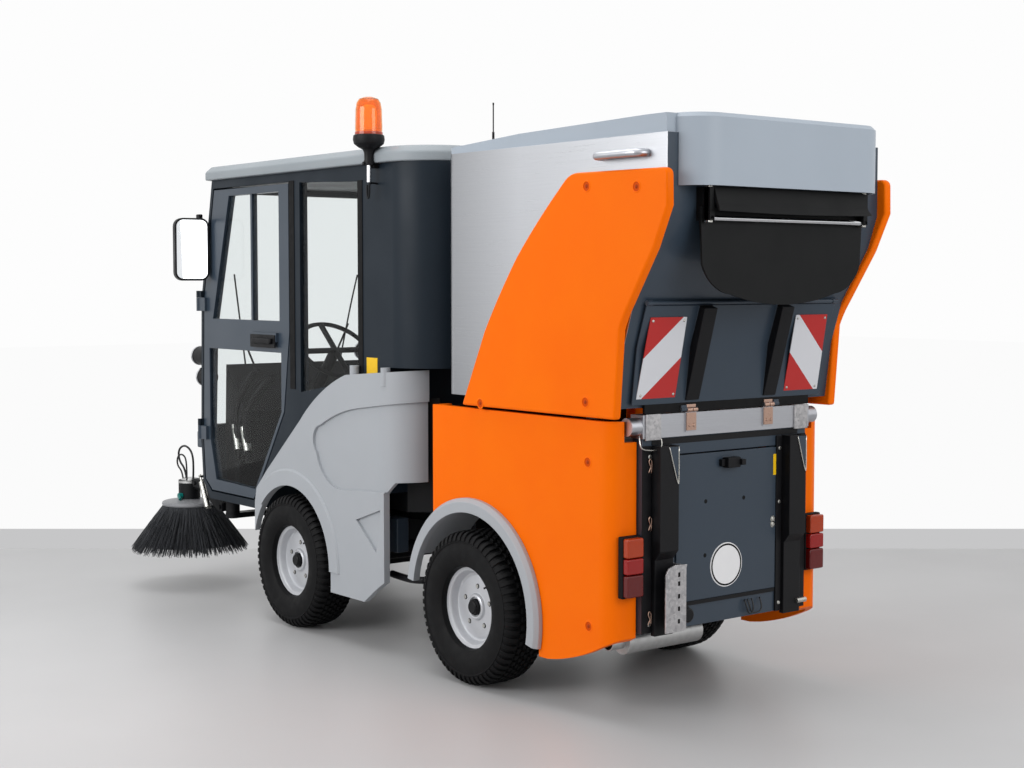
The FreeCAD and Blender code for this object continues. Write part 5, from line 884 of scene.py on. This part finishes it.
for side, sign, film in (("left", 1, stripes_left), ("right", -1, stripes_right)):
    board = plate([on_hatch(sign * y, z, 1)
                   for y, z in ((262, 1082), (262, 1350), (424, 1350), (436, 1082))],
                  (-4, 0, 0), 1.5)
    fit(board, "warning_plate_" + side, film, "hatch")
    rivets = heads([(0, 2.5), (4, 2), (5, 0)],
                   [on_hatch(sign * y, z, 5)
                    for y, z in ((274, 1094), (274, 1338), (412, 1338), (420, 1094))])
    fit(rivets, "plate_rivets_" + side, zinc_plate, "hatch")

# %% [markdown]
# ## The tail
# The tail is a dark frame round a flat panel: head rail, latch, two black channels, lamp
# clusters in rubber frames, a galvanised angle, a round socket and a blank round plate.

# %% Galvanised angle
angle = plate([(-834, 255, 306), (-834, 255, 500), (-834, 247, 528), (-834, 300, 531),
               (-834, 330, 522), (-834, 344, 500), (-834, 344, 306)], (-6, 0, 0), 1.5)
fit(angle, "angle_flange", galvanised, REAR)
slots = joined(*[block((-841, 280, z), (-839.5, 289, z + 15), 0.4, 1)
                 for z in (334, 376, 418, 460, 490)])
fit(slots, "angle_slots", seal, REAR)

# %% Black strips of the tail frame
strip = block((-777.5, 353, 300), (-774.5, 394, 925), 0.5, 1)
fit(strip, "frame_strip_{}", black_plastic, REAR)
strips = joined(block((-777.5, -352, 926), (-774.5, 352, 946), 0.5, 1),
                block((-781, -236, 372), (-778.5, 238, 385), 0.5, 1),
                block((-783, -267, 300), (-774.5, -240, 924), 1, 1))
fit(strips, "frame_gaps", black_plastic, REAR)
fit(heads([(0, 5), (5, 4.5), (7, 2), (7, 0)], [(-783, -254, z) for z in (880, 690, 330)]),
    "strip_bolts", zinc_plate, REAR)

# %% Cut corners of the channels
CHANNELS = (268, -352)
lips = joined(*[bent([(-821, y + 46, 921), (-822, y + 30, 868), (-822, y + 8, 796),
                      (-822, y + 3, 800), (-822, y + 3, 860), (-821, y + 3, 921)], 2, 2)
                for y in CHANNELS])
fit(lips, "channel_lips", zinc_plate, REAR)
corners = joined(*[plate([(-820, y + 44, 921), (-820, y + 3, 921), (-820, y + 3, 802)],
                         (-1.5, 0, 0), 0.3) for y in CHANNELS])
fit(corners, "channel_corners", slate, REAR, slot="black_plastic")

# %% Blank round plate
FACE = -779
ROUND = (FACE, 4, 493)
fit(turned([(0, 1.6), (76, 1.6), (77, 0)], ROUND, BACK, 64), "round_plate", sign_white, REAR)
fit(turned([(67, 1.5), (67, 2.2), (73, 2.2), (73, 1.5), (67, 1.5)], ROUND, BACK, 64),
    "round_plate_ring", seal, REAR)

# %% Latch, label, bolts and holes
latch = joined(block((FACE - 30, -34, 830), (FACE, 26, 866), 3),
               block((FACE - 40, -50, 838), (FACE - 8, -30, 858), 2),
               block((FACE - 16, 26, 836), (FACE, 42, 860), 2))
fit(latch, "tail_latch", black_plastic, REAR)
fit(block((FACE - 1, -262, 786), (FACE, -226, 860), 0.3, 1), "tail_label", yellow, REAR)
fit(heads([(0, 0.4), (6.5, 0.4), (7.5, 0)],
          [(FACE, y, z) for y, z in ((104, 720), (-80, 718), (106, 535))], 20),
    "tail_holes", seal, REAR)
BOLTS = [(-775, y, z) for y, z in ((-360, 880), (-364, 640), (-364, 330))]
BOLTS += [(FACE, -226, 612), (FACE, -226, 630), (-775, 360, 888), (-775, 360, 330)]
fit(heads([(0, 6), (6, 5.5), (8.5, 3), (8.5, 1), (12, 1), (12, 0)], BOLTS), "tail_bolts",
    zinc_plate, REAR)

# %% Socket, cable loops and lower corner tube
socket = turned([(0, 30), (20, 30), (25, 26), (26, 8), (32, 6), (32, 0)], (FACE + 2, 205, 345),
                BACK, 32, 1.0)
fit(socket, "trailer_socket", black_plastic, REAR)
for i, (start, end) in enumerate(((-85, -120), (-100, -160))):
    loop = bent([(FACE - 2, start, 360), (FACE - 14, start, 340), (FACE - 16, start - 6, 312),
                 (FACE - 16, end + 6, 312), (FACE - 14, end, 340), (FACE - 2, end, 360)], 2.6)
    fit(loop, f"tail_loop_{i}", hose_rubber, REAR)
fit(rod((-800, -330, 330), (-800, -376, 330), 9, 20, 1.0), "corner_pin", zinc_plate, REAR)

# %% [markdown]
# Spring clips of bent wire hold pins on the left side. Each is one wire bent to an R: a
# straight leg, a round eye and a wavy leg.

# %% Spring clips
for i, z in enumerate((860, 668, 352)):
    clip = bent([(-779, 356, z - 26), (-781, 356, z), (-782, 357, z + 16), (-783, 364, z + 24),
                 (-783, 371, z + 16), (-782, 366, z + 4), (-782, 360, z - 6),
                 (-781, 366, z - 14), (-780, 368, z - 24)], 1.8, 2, 4)
    fit(clip, f"spring_clip_{i}", bronze, REAR)
wire = bent([(-787, 418, 962), (-797, 426, 940), (-799, 418, 918), (-799, 380, 912),
             (-799, 340, 912), (-797, 322, 930), (-787, 322, 952)], 2.2, 2, 5)
fit(wire, "beam_wire", zinc_plate, REAR)

# %% Beam hinges and end plates
for y, end_y, side in ((186, 356, "left"), (-186, -356, "right")):
    leaf = joined(block((-793, y - 22, 968), (-785, y + 22, 1028), 1.5),
                  rod((-792, y - 23, 1038), (-792, y - 2, 1038), 8, 20, 0.8),
                  heads([(0, 3.5), (4, 3), (6, 0)], [(-793, y - 10, 985), (-793, y + 10, 985)]))
    fit(leaf, "beam_hinge_" + side, bronze, REAR)
    upper = joined(rod((-792, y + 1, 1038), (-792, y + 23, 1038), 8, 20, 0.8),
                   block((-792, y - 20, 1042), (-785, y + 22, 1056), 1.5))
    fit(upper, "hopper_hinge_" + side, bronze, "hopper")
    fit(block((-790, end_y - 34, 944), (-783, end_y + 34, 1030), 1.5), "beam_end_" + side,
        galvanised, REAR)

# %% [markdown]
# ## Lamp clusters
# Each cluster is a thin black back frame that carries an amber lens over a red and a dark red
# one. The lenses stand out of the frame and wrap round to the side.

# %% Lamp clusters
fit(block((-777, 400, 427), (-753, 479, 632), 4, 3), "lamp_frame_{}", seal, REAR, "tail_lamps")
for low, high, film, name in ((563, 627, lens_amber, "amber"), (508, 560, lens_red, "red"),
                              (432, 505, lens_dark, "dark_red")):
    lens = block((-799, 404, low), (-770, 475, high), 6, 3)
    fit(lens, "lens_" + name + "_{}", film, REAR)

# %% [markdown]
# ## Screws in the orange covers
# The covers are held by screws that sit in moulded wells. Each well is drawn as a thin rim
# round a shaded floor with a dark screw head, laid on the cover's face.

# %% Screw wells
WELL = (("rim", [(15, 0), (15.5, 1.8), (17.5, 2.0), (20.5, 0)], 32, orange),
        ("floor", [(0, 0.5), (15, 0.5), (15.6, 0)], 32, well_shade),
        ("screw", [(0, 2.4), (4.5, 2.0), (7, 0.4)], 16, well_deep))
for name, body, y, places in (
        ("cover", REAR, 510, ((-637, 869), (-644, 321))),
        ("wing", "hopper", 534, ((-655, 1775), (-896, 1763), (-75, 1032), (-652, 1070)))):
    for i, (x, z) in enumerate(places):
        for part, profile, steps, paint in WELL:
            fit(turned(profile, (x, y, z), LEFT, steps), f"{name}_well_{i}_{part}_" + "{}",
                paint, body)

# %% Grab handle
grip = bent([(-690, 500, 1869), (-694, 530, 1869), (-720, 541, 1869), (-800, 541, 1869),
             (-880, 541, 1869), (-906, 530, 1869), (-910, 500, 1869)], 13, 4)
fit(grip, "grab_handle_{}", aluminium, "hopper")

# %% [markdown]
# ## Beacon
# An amber dome over a black flared base, on a rubber stem that clamps to a bright tube. The
# dome is a spun shell with a real wall, so that light bends through it, and a glowing
# reflector stands inside.

# %% Beacon
BEACON = (640, 538, 0)
base = turned([(0, 2036), (50, 2036), (60, 2030), (62, 2014), (58, 1998), (40, 1984),
               (24, 1976), (19, 1964), (18, 1936), (21, 1930), (21, 1916), (0, 1916)],
              BEACON, UP, 48, 1.0)
fit(base, "beacon_base", black_plastic, FRONT, "beacon")
dome = turned([(52, 2034), (53, 2060), (51, 2130), (47, 2155), (38, 2170), (22, 2177),
               (0, 2178.5), (0, 2174.5), (20, 2173), (35, 2166), (43, 2153), (47, 2130),
               (49, 2060), (48, 2034), (52, 2034)], BEACON, UP, 48)
fit(dome, "beacon_dome", amber, FRONT)
reflector = turned([(0, 2150), (16, 2148), (27, 2138), (31, 2118), (30, 2080), (22, 2056),
                    (0, 2054)], BEACON, UP, 32)
fit(reflector, "beacon_reflector", glow, FRONT)
collar = turned([(51, 2032), (54.5, 2032), (54.5, 2042), (52.5, 2044), (51, 2044)], BEACON,
                UP, 48)
fit(collar, "beacon_collar", lens_amber, FRONT, slot="beacon_amber")
clamp = joined(rod((640, 510, 1922), (640, 566, 1922), 7, 16, 1.0),
               rod((668, 540, 1922), (612, 540, 1922), 6, 16, 1.0),
               block((626, 500, 1905), (654, 528, 1935), 3))
fit(clamp, "beacon_clamp", black_plastic, FRONT)
fit(rod((640, 538, 1925), (640, 538, 1850), 9, 24, 1.0), "beacon_tube", bright, FRONT)
clip = bent([(640, 500, 1846), (640, 532, 1850), (632, 542, 1840), (632, 542, 1800),
             (640, 542, 1786), (648, 542, 1800), (648, 542, 1840)], 4, 2)
fit(clip, "beacon_clip", chassis_black, FRONT, slot="black_plastic")

# %% [markdown]
# ## Mirrors
# A rounded black housing with silvered glass set back in a lip, held by a short arm at the
# front edge of the door. The housing is a block whose four long edges are bevelled wide, then inset
# on the side that faces back. The glass is a copy of that inset face. The whole head is turned
# outwards, so that the glass looks back along the machine's side.

# %% Mirror housing and glass
MIRROR_TURN = math.radians(-14)
MIRROR_CORNER, MIRROR_RIM, GLASS_DEPTH, GLASS_THICK = 38, 9, 7, 2
shell = block((2040, 506, 1470), (2086, 664, 1755), 0)


def choose(kind, test):
    """Goes into edit mode on the shell with only the edges or faces selected that pass a test."""
    edit(shell, "DESELECT")
    bpy.ops.mesh.select_mode(type=kind)
    done()
    for item in shell.data.edges if kind == "EDGE" else shell.data.polygons:
        item.select = test(item)
    bpy.ops.object.mode_set(mode="EDIT")


def runs_forward(edge):
    """Whether an edge's ends lie more than 10 mm apart along the machine."""
    a, b = (shell.data.vertices[i].co for i in edge.vertices)
    return abs(a.x - b.x) > 10 * MM


choose("EDGE", runs_forward)
bpy.ops.mesh.bevel(offset=MIRROR_CORNER * MM, segments=6)
choose("FACE", lambda face: face.normal.x < -0.9)
bpy.ops.mesh.inset(thickness=MIRROR_RIM * MM)
bpy.ops.mesh.extrude_region_move(TRANSFORM_OT_translate={"value": (GLASS_DEPTH * MM, 0, 0)})
done()
pane = copy_of(shell)
pick(pane)
bpy.ops.object.mode_set(mode="EDIT")
bpy.ops.mesh.select_all(action="INVERT")
bpy.ops.mesh.delete(type="FACE")
bpy.ops.mesh.select_all(action="SELECT")
bpy.ops.mesh.extrude_region_move(TRANSFORM_OT_translate={"value": (-GLASS_THICK * MM, 0, 0)})
done()
softened(outward(pane), 0)
softened(shell, 6, 3, 40)
for part in (shell, pane):
    part.data.transform(about(spot(2063, 585, 1612), MIRROR_TURN, "Z"))
fit(shell, "mirror_housing_{}", black_plastic, "door_{}", "mirror_{}")
fit(pane, "mirror_glass_{}", mirror_glass, "door_{}")
arm = joined(bent([(2110, 516, 1745), (2100, 560, 1735), (2086, 590, 1700), (2078, 590, 1650)],
                  8, 3), block((2094, 508, 1715), (2126, 528, 1775), 4))
fit(arm, "mirror_arm_{}", black_plastic, "door_{}")

# %% [markdown]
# ## Cab fittings
# Door handles on dark plates, black seals on the pillars, wipers, round headlamps with clear
# glass, a plain yellow label on the rear corner, and levers behind the door's lower glass.

# %% Handles, seals and label
grasp = joined(block((1425, 512, 1180), (1640, 519, 1236), 3),
               block((1440, 517, 1196), (1600, 536, 1222), 8, 3))
fit(grasp, "door_handle_{}", black_plastic, "door_{}")
fit(block((1279, 499, 1010), (1321, 503, 1890), 1.5), "pillar_seal_{}", seal, FRONT)
fit(block((747, 499, 1080), (782, 503, 1866), 1.5), "rear_pillar_seal_{}", seal, FRONT)
fit(block((645, 499.5, 1102), (722, 501.2, 1166), 0.3, 1), "cab_label", yellow, FRONT)

# %% Headlamps
for z, front in ((1117, 2257), (1020, 2209)):
    for part, behind, profile, paint in (
            ("ring", 6, [(44, -6), (46, 0), (45, 5), (40, 6), (38, 1), (38, -6)], bright),
            ("bowl", 8, [(0, -14), (20, -10), (37, 0), (38, -4), (20, -16), (0, -20)],
             mirror_glass),
            ("glass", 3, [(0, 2), (20, 1), (38, -3), (38, -5), (20, -2), (0, -1)],
             lens_clear)):
        fit(turned(profile, (front - behind, 452, z), FORWARD, 40),
            f"headlamp_{part}_{z}_" + "{}", paint, FRONT)

# %% Wipers and levers
blade = joined(bent([(2166, 120, 800), (2172, 100, 860), (2150, 260, 1150), (2134, 300, 1260)],
                    5, 2), bent([(2160, 250, 1000), (2136, 300, 1300), (2110, 340, 1500)], 4, 2))
fit(blade, "wiper_{}", black_plastic, FRONT)
sticks = joined(bent([(1966, 400, 640), (2010, 400, 820), (1930, 400, 980), (1790, 400, 1066)],
                     17, 3), bent([(1870, 400, 640), (1930, 400, 820), (1800, 400, 960),
                                   (1650, 400, 1040)], 17, 3))
fit(sticks, "levers", seal, FRONT)
sleeves = joined(rod((1974, 400, 690), (2006, 400, 806), 19, 20, 3),
                 rod((1884, 400, 690), (1920, 400, 800), 19, 20, 3))
fit(sleeves, "lever_sleeves", zinc_plate, FRONT)

# %% [markdown]
# ## Between the two halves
# Behind the front wing a dark opening shows the joint: black liners inside the wings, a small
# slate box and a black pipe.

# %% Opening behind the front wing
liner = plate([(930, 418, 560), (560, 418, 560), (470, 328, 560), (475, 322, 560),
               (563, 410, 560), (930, 410, 560)], (0, 0, 450), 1.0)
fit(liner, "wing_liner_{}", chassis_black, FRONT)
fit(block((590, 392, 395), (680, 448, 532), 5, 3), "joint_box", slate, FRONT)
pipe = bent([(640, 440, 306), (560, 446, 304), (470, 446, 304), (420, 430, 310)], 14, 3)
fit(pipe, "joint_pipe", black_plastic, FRONT)

# %% [markdown]
# ## Inside the cab
# The seat is foam under grained vinyl: a cushion and a leaning back, each swollen in the
# middle and drawn in at the edges. A block is divided, its points are moved out by a bulge
# that fades to the edges, and a subdivision rounds it. A heater box stands in the footwell.

# %% Seat and heater box
CUTS = 7


def swollen(low, high, crown, lean=0.0):
    """A closed pad between two corners that bulges by crown along its thin direction, up or
    forwards, and leans back by a share of its height."""
    pad = block(low, high, 0)
    edit(pad)
    bpy.ops.mesh.subdivide(number_cuts=CUTS)
    done()
    start, size = spot(*low), spot(*high) - spot(*low)
    thin = 2 if size.z < size.x else 0
    wide = 2 - thin
    for vertex in pad.data.vertices:
        share = [2 * (vertex.co[i] - start[i]) / size[i] - 1 for i in range(3)]
        fade = (1 - share[wide] ** 2) * (1 - share[1] ** 4)
        vertex.co[thin] += share[thin] * crown * MM * fade
        vertex.co.x -= lean * (vertex.co.z - start.z)
    return softened(apply(pad, "SUBSURF", levels=2, render_levels=2), 0)


for name, low, high, crown, lean in (
        ("seat_cushion", (1090, -225, 866), (1490, 225, 944), 14, 0.0),
        ("seat_back", (1020, -215, 960), (1084, 215, 1520), 16, 0.27)):
    pad = fit(swollen(low, high, crown, lean), name, seat_vinyl, FRONT, "driver_seat")
pedestal = joined(block((900, -230, 560), (1370, 230, 866), 18, 3),
                  block((1010, -60, 850), (1100, 60, 990), 8, 2))
fit(pedestal, "seat_pedestal", black_plastic, FRONT, "driver_seat")
fit(block((1600, -330, 480), (2080, -60, 930), 24, 4), "heater_box", black_plastic, FRONT)

# %% [markdown]
# ## Hoses and fittings of the side brushes
# Two hydraulic hoses rise from the motor and turn back into it, stiff and held at both ends.
# Each is one smooth spline near its places. A gas spring stands beside the arm.

# %% Brush hoses
HOSES = (([(2428, 440, 506), (2438, 442, 560), (2492, 448, 596), (2494, 450, 652),
           (2430, 448, 680), (2364, 444, 654), (2352, 440, 590), (2362, 440, 506)], 10),
         ([(2412, 466, 506), (2418, 468, 552), (2464, 472, 578), (2458, 474, 622),
           (2408, 472, 640), (2366, 468, 610), (2376, 466, 506)], 8))
for number, (places, thick) in enumerate(HOSES):
    for side, sign in (("left", 1), ("right", -1)):
        route = [(x, sign * y, z) for x, y, z in places]
        hose = smooth_line(route, 12)
        line = bpy.data.meshes.new_from_object(hose)
        steps = [(a.co - b.co).length for a, b in zip(line.vertices, line.vertices[1:])]
        fit(thicken(hose, thick / 2), f"brush_hose_{number}_{side}", hose_rubber,
            "brush_head_" + side)
        print("hose length", round(sum(steps), 3))

# %% Gas spring, plug and motor collar
spring = joined(rod((2188, 492, 560), (2166, 492, 520), 5, 16),
                rod((2170, 492, 528), (2112, 492, 414), 14, 24, 2),
                rod((2120, 480, 430), (2120, 500, 430), 8, 16, 1),
                rod((2184, 474, 552), (2184, 498, 552), 7, 16, 1),
                rod((2112, 474, 414), (2112, 498, 414), 7, 16, 1))
fit(spring, "brush_spring_{}", zinc_plate, "brush_arm_{}")
plug = joined(rod((2384, 486, 440), (2384, 508, 440), 13, 20, 2),
              rod((2384, 500, 440), (2366, 508, 424), 7, 16, 1))
fit(plug, "brush_plug_{}", teal, "brush_head_{}")
collar = turned([(0, 522), (30, 522), (36, 518), (40, 512), (53, 510), (53.5, 500), (52, 498),
                 (0, 498)], BRUSH, UP, 40)
fit(collar, "brush_motor_cap_{}", exhaust, "brush_head_{}")
fit(block((2140, 462, 690), (2196, 500, 766), 6, 3), "corner_bracket_{}", slate, FRONT)

# %% Aerial
aerial = joined(rod((485, 50, 1960), (485, 50, 2060), 5, 12, 1),
                rod((485, 50, 2060), (485, 50, 2176), 2.6, 10),
                turned([(0, 2176.5), (3.5, 2175), (3.5, 2168), (2.6, 2166), (0, 2166)],
                       (485, 50, 0), UP, 12))
fit(aerial, "aerial", black_plastic, FRONT)
